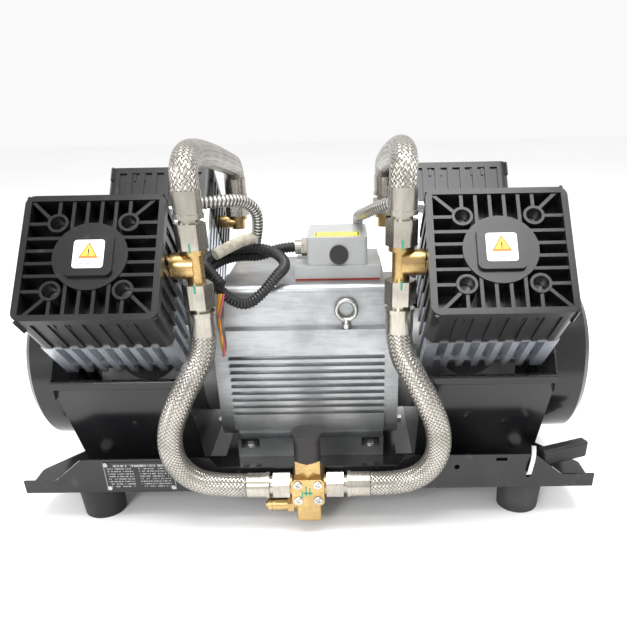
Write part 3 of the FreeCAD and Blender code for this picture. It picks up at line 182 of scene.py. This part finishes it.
# %% The routes, given for the right side and mirrored for the left
ARCH = [(.097, -.1372, .3485), (.097, -.1371, .3565), (.098, -.131, .369), (.099, -.104, .378),
        (.099, -.052, .375), (.098, 0, .368), (.097, .052, .360), (.097, .104, .351), (.097, .139, .346),
        (.097, .1457, .3305)]
FEED = [(.097, -.1372, .2175), (.098, -.142, .198), (.110, -.156, .180), (.124, -.166, .156),
        (.138, -.169, .124), (.139, -.168, .092), (.124, -.165, .067), (.098, -.163, .056),
        (.0675, -.163, .056)]
CONDUIT = {
    "left": [(-.113, -.100, .332), (-.092, -.097, .334), (-.071, -.088, .335), (-.056, -.068, .332),
             (-.046, -.051, .320), (-.047, -.040, .301), (-.052, -.031, .285)],
    "right": [(.113, -.100, .332), (.097, -.090, .332), (.080, -.066, .324), (.065, -.028, .311),
              (.061, .012, .303), (.060, .041, .296), (.060, .054, .279), (.060, .050, .268)],
}


def loom_route():
    """Out of the gland into an oval coil of 1.5 turns that droops in front of the motor's edge."""
    turn = np.radians(75 + 25 * np.arange(22))
    turns = 25 * np.arange(22) / 360
    rise = np.sin(turn)
    droop = np.where(rise > 0, 12 * rise, -30.6 * rise ** 4)
    deep = np.where(rise > 0, 32, 34)
    coil = np.stack([-62 + 43 * np.cos(turn), -50 + deep * rise - 6 * turns,
                     254.6 + droop + 10.7 * turns], -1)
    return np.r_[[(-11, -11, 274), (-27, -12, 274)], coil] / 1000


HOSE_ROUND = 0.0128
LOOM_ROUND = 0.006
hoses = {}


def declare(name, piece, s, node):
    """Hides the CAD node that this tube stands for, and keeps the tube under name."""
    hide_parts(node)
    hoses[name] = piece


for side_name, side in (("left", -1), ("right", 1)):
    arch = np.array(ARCH) * (side, 1, 1)
    piece, path, s = tube(f"arch_braid_{side_name}", arch, HOSE_ROUND, plain_wave, 0.003, (1, 0, 0), 64)
    declare(f"arch_{side_name}", piece, s, f"arch_hose_{side_name}")
    feed = np.array(FEED) * (side, 1, 1)
    feed[-1, 0] += 0.002 * (1 - side)
    piece, path, s = tube(f"feed_braid_{side_name}", feed, HOSE_ROUND, plain_wave, 0.003, (0, 1, 0), 64)
    declare(f"feed_{side_name}", piece, s, f"feed_hose_{side_name}")
    piece, path, s = tube(f"spiral_conduit_{side_name}", np.array(CONDUIT[side_name]), 0.006,
                          spiral_wave, 0.0006, (0.6, -0.8, 0.0) if side < 0 else (1, 0.3, 0), 24)
    declare(f"conduit_{side_name}", piece, s, f"conduit_{side_name}")
piece, path, s = tube("corrugated_loom", loom_route(), LOOM_ROUND, ring_wave, 0.0005, (0, 0, 1), 32)
declare("loom", piece, s, "wiring_loom")

# %% [markdown]
# ## Writing shader maths
# A finish is a small network of nodes. A socket wrapped in this class can be added and multiplied
# like a number, so a formula reads as a formula, and each step still becomes one Math node.

# %% Helper: finishes as formulas
class Wire:
    """An output socket of a finish, with the operators that its formulas use."""

    def __init__(self, finish, socket):
        self.finish = finish
        self.socket = socket

    def _with(self, kind, *values):
        return self.finish.node("ShaderNodeMath", {"operation": kind}, *values)

    def __add__(self, other):
        return self._with("ADD", self, other)

    __radd__ = __add__

    def __sub__(self, other):
        return self._with("SUBTRACT", self, other)

    def __rsub__(self, other):
        return self._with("SUBTRACT", other, self)

    def __mul__(self, other):
        return self._with("MULTIPLY", self, other)

    __rmul__ = __mul__

    def __truediv__(self, other):
        return self._with("DIVIDE", self, other)

    def __gt__(self, other):
        return self._with("GREATER_THAN", self, other)

    def __lt__(self, other):
        return self._with("LESS_THAN", self, other)

    def __abs__(self):
        return self._with("ABSOLUTE", self)

    def sin(self):
        return self._with("SINE", self)

    def cos(self):
        return self._with("COSINE", self)

    def floor(self):
        return self._with("FLOOR", self)

    def fract(self):
        return self._with("FRACT", self)

    def most(self, other):
        return self._with("MAXIMUM", self, other)


class Finish:
    """A material under construction."""

    def __init__(self, name):
        self.material = bpy.data.materials.new(name)
        self.material.use_nodes = True
        self.tree = self.material.node_tree
        self.shader = self.tree.nodes["Principled BSDF"]

    def feed(self, socket, value):
        if isinstance(value, Wire):
            self.tree.links.new(value.socket, socket)
        elif hasattr(value, "__len__") and len(value) == 3 and socket.type == "RGBA":
            socket.default_value = (*value, 1)
        else:
            socket.default_value = value

    def node(self, kind, settings=None, *values, out=0, **named):
        """Adds one node: its settings first, then the values or wires of its sockets."""
        made = self.tree.nodes.new(kind)
        for key, value in (settings or {}).items():
            setattr(made, key, value)
        for index, value in enumerate(values):
            self.feed(made.inputs[index], value)
        for key, value in named.items():
            self.feed(made.inputs[key.replace("_", " ")], value)
        return Wire(self, made.outputs[out])

    def place(self):
        return self.node("ShaderNodeTexCoord", out="Object")

    def axes(self):
        """The three coordinates, as three wires."""
        split = self.node("ShaderNodeSeparateXYZ", {}, self.place())
        return [Wire(self, socket) for socket in split.socket.node.outputs]

    def along(self):
        """The piece's own two coordinates: along it, and round it."""
        split = self.node("ShaderNodeSeparateXYZ", {}, self.node("ShaderNodeUVMap", {"uv_map": "Along"}))
        return [Wire(self, socket) for socket in split.socket.node.outputs][:2]

    def noise(self, scale, detail=3.0, stretch=None):
        where = self.place()
        if stretch:
            where = self.node("ShaderNodeVectorMath", {"operation": "MULTIPLY"}, where, stretch)
        return self.node("ShaderNodeTexNoise", {}, Vector=where, Scale=scale, Detail=detail)

    def ramp(self, value, low, high):
        """0 below low, 1 above high, a smooth change between."""
        smooth = {"interpolation_type": "SMOOTHSTEP"}
        return self.node("ShaderNodeMapRange", smooth, value, low, high, 0.0, 1.0)

    def mix(self, factor, a, b):
        made = self.tree.nodes.new("ShaderNodeMix")
        made.data_type = "RGBA"
        self.feed(made.inputs[0], factor)
        self.feed(made.inputs[6], a)
        self.feed(made.inputs[7], b)
        return Wire(self, made.outputs[2])

    def bump(self, height, depth, strength=1.0):
        return self.node("ShaderNodeBump", {}, Strength=strength, Distance=depth, Height=height)

    def done(self, colour, rough, metal=0.0, normal=None, coat=0.0, coat_rough=0.1, **constants):
        self.feed(self.shader.inputs["Base Color"], colour)
        self.feed(self.shader.inputs["Roughness"], rough)
        self.feed(self.shader.inputs["Metallic"], metal)
        self.feed(self.shader.inputs["Coat Weight"], coat)
        self.feed(self.shader.inputs["Coat Roughness"], coat_rough)
        if normal:
            self.feed(self.shader.inputs["Normal"], normal)
        for key, value in constants.items():
            self.feed(self.shader.inputs[key.replace("_", " ")], value)
        return self.material


# %% [markdown]
# ## Paints, metals, rubber and plastic
# A painted or cast surface is never one flat colour. Each finish here takes a slow cloud of noise for
# handling marks and dust, a fine one for its grain, and feeds both to colour, roughness and bump.

# %% Finishes of one kind, told apart by numbers
def coated(name, colour, worn, rough, grain, depth, coat=0.0):
    """Paint, powder coat, rubber or plastic: cloudy colour and roughness over a fine grain."""
    f = Finish(name)
    cloud = f.noise(14.0, 4.0)
    fine = f.noise(grain, 2.0)
    scuffs = f.ramp(f.noise(60.0, 8.0), 0.62, 0.74)
    tone = f.mix(f.ramp(cloud, 0.35, 0.7), colour, worn)
    tone = f.mix(scuffs * 0.25, tone, [min(1.0, c * 1.5 + 0.05) for c in worn])
    return f.done(tone, rough + 0.16 * cloud + 0.1 * scuffs - 0.08, 0.0, f.bump(fine, depth, 0.6), coat, 0.12,
                  Specular_IOR_Level=0.28)


def metal(name, colour, dull, rough, stretch, grain, depth, metallic=0.92):
    """Bare metal: brushed or cast grain stretched along one way, with duller patches."""
    f = Finish(name)
    cloud = f.noise(22.0, 5.0)
    lines = f.noise(grain, 3.0, stretch)
    tone = f.mix(f.ramp(cloud, 0.38, 0.68), colour, dull)
    tone = f.mix(f.ramp(lines, 0.35, 0.8) * 0.35, tone, [c * 0.75 for c in dull])
    return f.done(tone, rough + 0.18 * lines + 0.12 * cloud - 0.12, metallic, f.bump(lines, depth, 0.5))


EVEN = (1, 1, 1)
FINISHES = {
    "black_sheet": coated("gloss_black_powder", (.007, .007, .008), (.016, .015, .016), .2, 700, .00008, .35),
    "rubber": coated("foot_rubber", (.018, .018, .018), (.05, .05, .05), .62, 900, .0002),
    "zinc_steel": metal("zinc_plate", (.62, .61, .58), (.45, .44, .42), .3, EVEN, 500, .00006),
    "black_plastic": coated("black_plastic", (.014, .013, .013), (.03, .028, .027), .42, 800, .0001),
    "motor_aluminium": metal("extruded_aluminium", (.42, .43, .44), (.29, .30, .305), .33,
                             (.12, 1, 1), 420, .00012, .8),
    "steel": metal("machined_steel", (.5, .5, .5), (.34, .34, .35), .32, (.2, 1, 1), 600, .00005),
    "copper": coated("enamelled_copper", (.45, .15, .05), (.3, .09, .03), .35, 600, .0002, .4),
    "grey_paint": coated("silver_grey_paint", (.34, .35, .345), (.27, .28, .275), .34, 600, .00006, .3),
    "red_rubber": coated("red_rubber", (.42, .03, .02), (.25, .02, .015), .6, 900, .0001),
    "nickel": metal("nickel_plate", (.46, .43, .375), (.30, .28, .24), .24, (1, 1, .15), 420, .00006),
    "cast_aluminium": metal("cast_aluminium", (.42, .42, .42), (.3, .3, .3), .5, EVEN, 700, .0003, .7),
    "bright_fins": metal("bright_fins", (.66, .69, .74), (.48, .52, .58), .28, EVEN, 500, .00012, .85),
    "black_casting": coated("black_casting", (.006, .006, .0065), (.013, .013, .014), .32, 900, .0003, .12),
    "piston_metal": metal("piston_metal", (.6, .6, .6), (.45, .45, .45), .35, EVEN, 500, .0001),
    "brass": metal("brass", (.55, .385, .17), (.38, .26, .11), .26, EVEN, 350, .00008, .95),
}
print(len(FINISHES), "plain finishes")

# %% [markdown]
# ## Woven wire, spiral wire and corrugated tube
# The braid is made of flat bundles of wire that pass over and under each other on a slant. Two sets of
# stripes that wind opposite ways give the bundles, and a chessboard of the two says which is on top.
# Each bundle is crowned, so its middle keeps the steel's colour, and painted shade covers it where it dips
# under the next.

# %% Finishes that follow a tube
BUNDLES = 18
LAY = 0.0042


def braided():
    """Bundles on two slants: the chessboard of their counts picks which crown, sin(pi * share), shows."""
    f = Finish("steel_braid")
    s, turn = f.along()
    one = turn * BUNDLES + s * (1 / LAY)
    two = turn * BUNDLES - s * (1 / LAY)
    chess = ((one.floor() + two.floor()) * 0.5).fract() > 0.25
    crown_one = (two.fract() * math.pi).sin()
    crown_two = (one.fract() * math.pi).sin()
    height = chess * crown_one + (1 - chess) * crown_two
    shade = f.ramp(height, 0.1, 0.85)
    patch = f.ramp(f.noise(45.0, 3.0), 0.35, 0.7)
    tone = f.mix(patch, (.50, .475, .43), (.36, .34, .30))
    # Painted shade: the colour falls to a near-black brown in the dips between bundles; only the crowns keep
    # the steel's colour.
    tone = f.mix(shade, (.11, .10, .085), tone)
    return f.done(tone, 0.36 - 0.1 * shade, 0.85, f.bump(height, 0.0006, 0.9))


def wound(name, colour, groove_shade, pitch, rough, metallic, slant):
    """A tube's rings or spiral, with painted shade in the grooves."""
    f = Finish(name)
    s, turn = f.along()
    crest = ((s * (1 / pitch) - turn * slant) * (2 * math.pi)).cos() * 0.5 + 0.5
    # Painted shade: the colour falls in each groove of the rings or spiral, between the crests.
    tone = f.mix(f.ramp(crest, 0.1, 0.6), groove_shade, colour)
    dust = f.noise(120.0, 4.0)
    return f.done(tone, rough + 0.2 * dust - 0.1, metallic, f.bump(dust, 0.0001, 0.5))


FINISHES["braid"] = braided()
# The second colour of each is the painted shade in its grooves.
FINISHES["spiral_metal"] = wound("spiral_wire", (.55, .53, .50), (.12, .115, .11), 0.004, .34, .9, 1)
FINISHES["black_tube"] = wound("corrugated_black", (.02, .02, .021), (.004, .004, .004), 0.0034, .4, 0, 0)

# %% [markdown]
# ## The rating plate
# The plate is a printed sheet. Its print is only rows of dashes in two columns, so it reads as small
# type from a distance and says nothing. Rows and columns come from the plate's own X and Z.

# %% The rating plate's print
def printed_plate():
    """Rows 2.7 mm high; a dash is inked where a noise, stretched along X, is high in that row."""
    f = Finish("rating_plate")
    x, _, z = f.axes()
    low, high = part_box("nameplate")
    across = (x - low[0]) / (high[0] - low[0])
    up = (z - low[2]) / (high[2] - low[2])
    row = (up * 11).floor()
    inside = ((up * 11).fract() > 0.3) * ((up * 11).fract() < 0.72)
    spot = f.node("ShaderNodeCombineXYZ", {}, x * 900, row * 7.3, 0.0)
    dashes = f.node("ShaderNodeTexNoise", {}, Vector=spot, Scale=1.0, Detail=0.0) > 0.47
    column = ((across > 0.05) * (across < 0.42)).most((across > 0.5) * (across < 0.94))
    body = column * (up < 0.82) * (up > 0.1)
    title = (up > 0.84) * (up < 0.92) * (across > 0.14) * (across < 0.86) * (dashes)
    ink = (inside * dashes * body).most(title)
    edge = abs(across - 0.5) > 0.485
    cloud = f.noise(40.0, 4.0)
    tone = f.mix(ink.most(edge * 0.6), f.mix(cloud, (.012, .012, .013), (.03, .03, .032)), (.30, .30, .29))
    return f.done(tone, 0.35 + 0.2 * cloud, 0.3)


FINISHES["nameplate_metal"] = printed_plate()
for part in frame["record"]["subparts"]:
    thing = nodes[part["node"]]
    thing.data.materials.clear()
    thing.data.materials.append(FINISHES[part["material_slot"]])
for name, piece in hoses.items():
    kind = "black_tube" if name == "loom" else "spiral_metal" if "conduit" in name else "braid"
    piece.data.materials.append(FINISHES[kind])
print("every CAD piece has its finish")

# %% [markdown]
# ## Stickers and labels
# A sticker is a rounded square a fraction of a millimetre thick. Its outline is one closed
# path: four quarter circles joined by straight sides. Two outlines, one above the other, make its edge,
# and a third, set in a little, makes the rim. Its UV runs from -1 to 1 across the face.

# %% Helper: a rounded plate
def outline(half_wide, half_tall, corner, steps=10):
    """Quarter circles of radius corner about the four inner corners, counter-clockwise."""
    angle = np.linspace(0, np.pi / 2, steps)
    quarters = []
    for turn, (a, b) in enumerate([(1, 1), (-1, 1), (-1, -1), (1, -1)]):
        swing = angle + turn * np.pi / 2
        quarters.append(np.stack([a * (half_wide - corner) + corner * np.cos(swing),
                                  b * (half_tall - corner) + corner * np.sin(swing)], -1))
    return np.concatenate(quarters)


def plate(name, centre, x_way, y_way, half_wide, half_tall, corner, thick, finish, body="frame"):
    """Outlines stacked from the surface to thick, the last set in, with its print on the face."""
    ring = outline(half_wide, half_tall, corner)
    x_way, y_way = unit(np.array(x_way, float)), unit(np.array(y_way, float))
    normal = np.cross(x_way, y_way)
    set_in = min(thick, corner * 0.8)
    layers = [(1.0, 0.0), (1.0, thick * 0.6), (1 - set_in * 0.5 / half_wide, thick)]
    grid = np.stack([np.array(centre) + ring[:, :1] * k * x_way + ring[:, 1:] * k * y_way + rise * normal
                     for k, rise in layers])
    piece = skin(name, grid, np.zeros(len(layers)), np.zeros(len(ring) + 1))
    mesh = piece.data
    spots = np.empty(len(mesh.vertices) * 3)
    mesh.vertices.foreach_get("co", spots)
    spots = spots.reshape(-1, 3) - np.array(centre)
    corners = np.empty(len(mesh.loops), dtype=int)
    mesh.loops.foreach_get("vertex_index", corners)
    face_uv = np.stack([spots @ x_way / half_wide, spots @ y_way / half_tall], -1)[corners]
    mesh.uv_layers["Along"].data.foreach_set("uv", face_uv.ravel())
    mesh.polygons.foreach_set("use_smooth", np.zeros(len(mesh.polygons), dtype=bool))
    mesh.materials.append(finish)
    return piece


def on_top(node, centre, normal, reach):
    """How far the node's surface stands out along normal, near the line through centre."""
    found = np.empty(len(nodes[node].data.vertices) * 3)
    nodes[node].data.vertices.foreach_get("co", found)
    away = found.reshape(-1, 3) - centre
    out = away @ normal
    near = np.linalg.norm(away - out[:, None] * normal, axis=1) < reach
    return out[near].max()


# %% The stickers on the front heads
def caution_print():
    """A plain orange-edged yellow triangle with a bar and a dot, and rows of dashes below it."""
    f = Finish("head_sticker_print")
    u, v = f.along()
    inside = (abs(u) * 1.75 + (v - 0.85)).most(-0.33 - v)
    border = inside < 0.0
    yellow = inside < -0.2
    bar = (abs(u) < 0.05) * (v > 0.02) * (v < 0.36)
    dot = (abs(u) < 0.06) * (v > -0.1) * (v < -0.02)
    rows = ((v * 9).fract() > 0.45) * (v < -0.45) * (v > -0.82) * (abs(u) < 0.7)
    spot = f.node("ShaderNodeCombineXYZ", {}, u * 9.0, (v * 9).floor() * 3.7, 0.0)
    dashes = f.node("ShaderNodeTexNoise", {}, Vector=spot, Scale=1.0, Detail=0.0) > 0.45
    paper = f.mix(f.noise(90.0, 3.0), (.86, .87, .88), (.74, .75, .76))
    tone = f.mix(border, paper, (.80, .16, .02))
    tone = f.mix(yellow, tone, (.92, .52, .05))
    tone = f.mix(bar.most(dot), tone, (.03, .02, .02))
    tone = f.mix(rows * dashes, tone, (.10, .10, .11))
    return f.done(tone, 0.5 + 0.1 * f.noise(200.0))


sticker = caution_print()
TILT = math.radians(45)
for side_name, side in (("left", -1), ("right", 1)):
    out_way = np.array([0, -math.sin(TILT), math.cos(TILT)])
    base = np.array([side * 0.183, 0, 0.136])
    rise = on_top(f"head_{side_name}_front", base, out_way, 0.034)
    label = plate(f"head_sticker_{side_name}", base + out_way * (rise + 0.00002), (1, 0, 0),
                  (0, math.cos(TILT), math.sin(TILT)), 0.0138, 0.0142, 0.0030, 0.0003, sticker)
    print(label.name, "sits", round(rise * 1000, 1), "mm from the shaft")

# %% [markdown]
# ## The terminal box's label, and the manifold's screws
# The box carries one yellow label with a black frame and two rows of dashes. The manifold's block is
# held by four pan-head screws. A pan head is a quarter circle turned about its axis, and its cross
# slot is two shallow grooves, so the head's grid is pushed down wherever a point is near either line.

# %% The label on the terminal box
def yellow_print():
    """A black line inside the edge, a short heavy row and a long fine one."""
    f = Finish("box_label_print")
    u, v = f.along()
    rim = (abs(u) > 0.9).most(abs(v) > 0.76) * (abs(u) < 0.96) * (abs(v) < 0.88)
    heavy = (v > 0.05) * (v < 0.4) * (u > -0.75) * (u < 0.75)
    fine = (v > -0.5) * (v < -0.3) * (u > -0.75) * (u < 0.1)
    spot = f.node("ShaderNodeCombineXYZ", {}, u * 16.0, v.floor() * 5.1, 0.0)
    dashes = f.node("ShaderNodeTexNoise", {}, Vector=spot, Scale=1.0, Detail=0.0) > 0.45
    paper = f.mix(f.noise(70.0, 3.0), (.80, .66, .04), (.66, .53, .03))
    tone = f.mix(rim.most(heavy * dashes * 0.8).most(fine), paper, (.03, .03, .02))
    return f.done(tone, 0.3 + 0.12 * f.noise(220.0), 0.0, coat=0.3)


lid_low, lid_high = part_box("terminal_lid")
middle_x = (lid_low[0] + lid_high[0]) / 2
box_label = plate("box_label", (middle_x, lid_low[1] + 0.019, lid_high[2] + 0.00001), (1, 0, 0), (0, 1, 0),
                  0.0245, 0.0125, 0.0012, 0.00025, yellow_print())


# %% Helper: a piece turned about an axis
def sides_of(way):
    """Two directions at right angles to way and to each other."""
    way = unit(np.array(way, float))
    first = unit(np.cross(way, (0.3, 0.2, 1.0) if abs(way[2]) < 0.9 else (1.0, 0.1, 0.0)))
    return first, np.cross(way, first), way


def turned(name, at, way, radius, height, finish, shape=None, sides=32, body="frame"):
    """Circles of radius[i] stacked at height[i] along way; shape may push points along way."""
    first, second, way = sides_of(way)
    angle = 2 * np.pi * np.arange(sides) / sides
    radius, height = np.array(radius, float), np.array(height, float)
    x = radius[:, None] * np.cos(angle)
    y = radius[:, None] * np.sin(angle)
    z = height[:, None] + (shape(x, y) if shape else 0 * x)
    grid = np.array(at) + x[..., None] * first + y[..., None] * second + z[..., None] * way
    piece = skin(name, grid, height, np.arange(sides + 1) / sides, body=body)
    piece.data.materials.append(finish)
    return piece


# %% Pan-head screws
def pan_head(name, at, way, size, finish):
    """Radius and height follow a quarter circle; a cross a sixth as wide as the head is sunk in it."""
    bend = np.linspace(0, np.pi / 2, 9)[:-1]
    radius = np.r_[size, size * np.cos(bend), size * np.linspace(0.3, 0.02, 5)]
    height = np.r_[0, size * (0.15 + 0.4 * np.sin(bend)), [size * 0.55] * 5]

    def cross(x, y):
        near_line = np.minimum(np.abs(x), np.abs(y)) < size * 0.17
        inner = np.hypot(x, y) < size * 0.62
        return np.where(near_line & inner, -size * 0.3, 0.0)

    made = turned(name, at, way, radius, height, finish, cross, 48)
    return made


block_low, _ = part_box("manifold_block")
BLOCK_X, BLOCK_Z = 0.002, 0.056
for i, (a, b) in enumerate([(-1, -1), (1, -1), (-1, 1), (1, 1)]):
    pan_head(f"manifold_screw_{i}", (BLOCK_X + 0.0105 * a, block_low[1] - 0.0001, BLOCK_Z + 0.0095 * b),
             (0, -1, 0), 0.0048, FINISHES["zinc_steel"])
plate_low, plate_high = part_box("nameplate")
for i, (x, z) in enumerate([(plate_low[0] + 0.003, plate_high[2] - 0.003),
                            (plate_low[0] + 0.003, plate_low[2] + 0.003),
                            (plate_high[0] - 0.003, plate_low[2] + 0.003)]):
    pan_head(f"plate_rivet_{i}", (x, plate_low[1] - 0.0001, z), (0, -1, 0), 0.0026, FINISHES["zinc_steel"])

# %% [markdown]
# ## Paint dabs
# A fitter marks each tightened joint with a stroke of green paint, so that a loose nut shows. Each
# stroke is a small rounded plate laid across the joint.

# %% Green strokes across the joints
def green_dab():
    f = Finish("green_marking_paint")
    cloud = f.noise(300.0, 4.0)
    return f.done(f.mix(cloud, (.01, .20, .12), (.03, .34, .22)), 0.4 + 0.3 * cloud, 0.0,
                  f.bump(cloud, 0.0004, 0.8))


DAB = green_dab()


def dab(name, at, half_wide, half_tall):
    """One stroke that faces the front."""
    made = plate(name, at, (1, 0, 0), (0, 0, 1), half_wide, half_tall, min(half_wide, half_tall) * 0.95,
                 0.0004, DAB)


TEE_PLACE = -0.1372
NUT_HALF = 0.0135
nut_front = TEE_PLACE - NUT_HALF
for side_name, side in (("left", -1), ("right", 1)):
    x = side * 0.097
    dab(f"dab_upper_{side_name}", (x, nut_front - 0.0002, 0.303), 0.0008, 0.0045)
    dab(f"dab_lower_{side_name}", (x, nut_front - 0.0002, 0.266), 0.0009, 0.0045)
for i, (x, z, wide, tall) in enumerate([(0.0, 0.058, 0.0008, 0.006), (0.004, 0.057, 0.0007, 0.005),
                                        (0.002, 0.0555, 0.005, 0.0007), (-0.004, 0.054, 0.0007, 0.004)]):
    dab(f"dab_block_{i}", (x, block_low[1] - 0.0001, z), wide, tall)

# %% [markdown]
# ## The cable tie, the sleeve and the loose wires
# A cable tie is a flat nylon strap. Its section is a rounded rectangle, carried along a short path
# from the hole in the tray up and over the capacitor. The sleeve round the conduit's end is a soft
# beige tube, and three coloured wires hang below the loom.

# %% Soft little tubes and straps
def nylon():
    f = Finish("white_nylon")
    cloud = f.noise(60.0, 3.0)
    return f.done(f.mix(cloud, (.72, .73, .71), (.58, .60, .57)), 0.38 + 0.15 * cloud, 0.0,
                  f.bump(f.noise(900.0), 0.0001, 0.4))


NYLON = nylon()


def strap(name, points, wide, thick, across, finish):
    """A rectangle with rounded corners, its wide side along across, carried along the points."""
    path, s = centreline(points, 0.0008)
    ahead_way = unit(np.gradient(path, axis=0))
    flat_way = unit(np.array(across, float) - (ahead_way @ np.array(across, float))[:, None] * ahead_way)
    thin_way = np.cross(ahead_way, flat_way)
    ring = outline(wide / 2, thick / 2, thick * 0.35, 4)
    grid = path[:, None] + ring[None, :, :1] * flat_way[:, None] + ring[None, :, 1:] * thin_way[:, None]
    made = skin(name, grid, s, np.arange(len(ring) + 1) / len(ring))
    made.data.materials.append(finish)
    return made


strap("tie_strap", np.array([(.2420, -.1445, .0545), (.2420, -.1500, .0560), (.2428, -.1500, .0640),
                             (.2445, -.1490, .0740), (.2460, -.1440, .0820), (.2480, -.1340, .0830)]),
      0.0048, 0.0013, (1, 0, 0), NYLON)

# %% A beige sleeve, and the loose wires
def soft_tube(name, points, radius, across, finish, sides=20):
    """A round tube along a smooth curve; it is too short to be a cord of its own."""
    made, path, s = tube(name, np.array(points), radius, plain_wave, 0.001, across, sides)
    made.data.materials.append(finish)
    return made


def cloth_sleeve():
    """Fine woven glass fibre, beige, with a grain along its own two coordinates."""
    f = Finish("beige_sleeve")
    s, turn = f.along()
    weave = (s * (2 * math.pi / 0.0011)).sin() * (turn * (2 * math.pi * 30)).sin()
    dirt = f.noise(150.0, 5.0)
    tone = f.mix(f.ramp(dirt, 0.35, 0.75), (.62, .58, .48), (.38, .34, .27))
    return f.done(tone, 0.75, 0.0, f.bump(weave, 0.0003, 0.7))


def insulation(name, colour):
    f = Finish(name)
    cloud = f.noise(200.0, 3.0)
    return f.done(f.mix(cloud, colour, [c * 0.6 for c in colour]), 0.35 + 0.2 * cloud)


soft_tube("conduit_sleeve", [(-.050, -.036, .2905), (-.062, -.040, .2890), (-.078, -.050, .2835),
                             (-.092, -.062, .2780)], 0.0058, (0, 0, 1), cloth_sleeve())
WIRES = {"wire_orange": (.75, .25, .03), "wire_yellow": (.80, .62, .05), "wire_pink": (.70, .12, .15)}
for i, (name, colour) in enumerate(WIRES.items()):
    shift = 0.0026 * (i - 1)
    soft_tube(name, [(-.0845 + shift, -.0890, .2440), (-.0885 + shift, -.0920 - shift, .2280),
                     (-.0905 - shift, -.0900 + shift, .2100), (-.0890 + shift, -.0860, .1900),
                     (-.0900, -.0830 - shift, .1740)], 0.0013, (0, 1, 0),
              insulation(name, colour), 12)

# %% [markdown]
# ## The light and the floor
# Large soft lamps stand for a bright room: one above and in front, one on each side. The floor is a
# plain pale sheet that is wide enough to fill the view.

# %% Floor, lamps and sky
def pale_floor():
    f = Finish("pale_floor")
    cloud = f.noise(1.5, 2.0)
    return f.done(f.mix(cloud, (.94, .94, .94), (.97, .97, .97)), 0.85 + 0.05 * cloud)


FLOOR_HALF = 6.0
FLOOR_LEVEL = -0.0005
floor_mesh = bpy.data.meshes.new("floor")
corners = [(a * FLOOR_HALF, b * FLOOR_HALF, FLOOR_LEVEL) for a, b in ((-1, -1), (1, -1), (1, 1), (-1, 1))]
floor_mesh.from_pydata(corners, [], [(0, 1, 2, 3)])
floor_mesh.materials.append(pale_floor())
floor = bpy.data.objects.new("floor", floor_mesh)
bpy.context.scene.collection.objects.link(floor)


def lamp(name, place, target, size, power):
    """A square lamp of this size at place, turned to face target."""
    data = bpy.data.lights.new(name, "AREA")
    data.size = size
    data.energy = power
    thing = bpy.data.objects.new(name, data)
    way = Vector(target) - Vector(place)
    thing.matrix_world = Matrix.Translation(place) @ way.to_track_quat("-Z", "Y").to_matrix().to_4x4()
    bpy.context.scene.collection.objects.link(thing)


lamp("lamp_above", (0.1, -0.3, 1.9), (0, 0, 0.2), 1.1, 40)
lamp("lamp_front", (-0.6, -1.7, 1.0), (0, 0, 0.2), 0.5, 14)
lamp("lamp_left", (-1.6, -0.3, 0.9), (0, 0, 0.2), 0.6, 9)
lamp("lamp_right", (1.6, 0.1, 1.0), (0, 0, 0.2), 0.6, 9)
world = bpy.data.worlds.new("pale_room")
world.use_nodes = True
world.node_tree.nodes["Background"].inputs["Color"].default_value = (1, 1, 1, 1)
world.node_tree.nodes["Background"].inputs["Strength"].default_value = 0.95
bpy.context.scene.world = world
bpy.context.scene.view_settings.view_transform = "Standard"
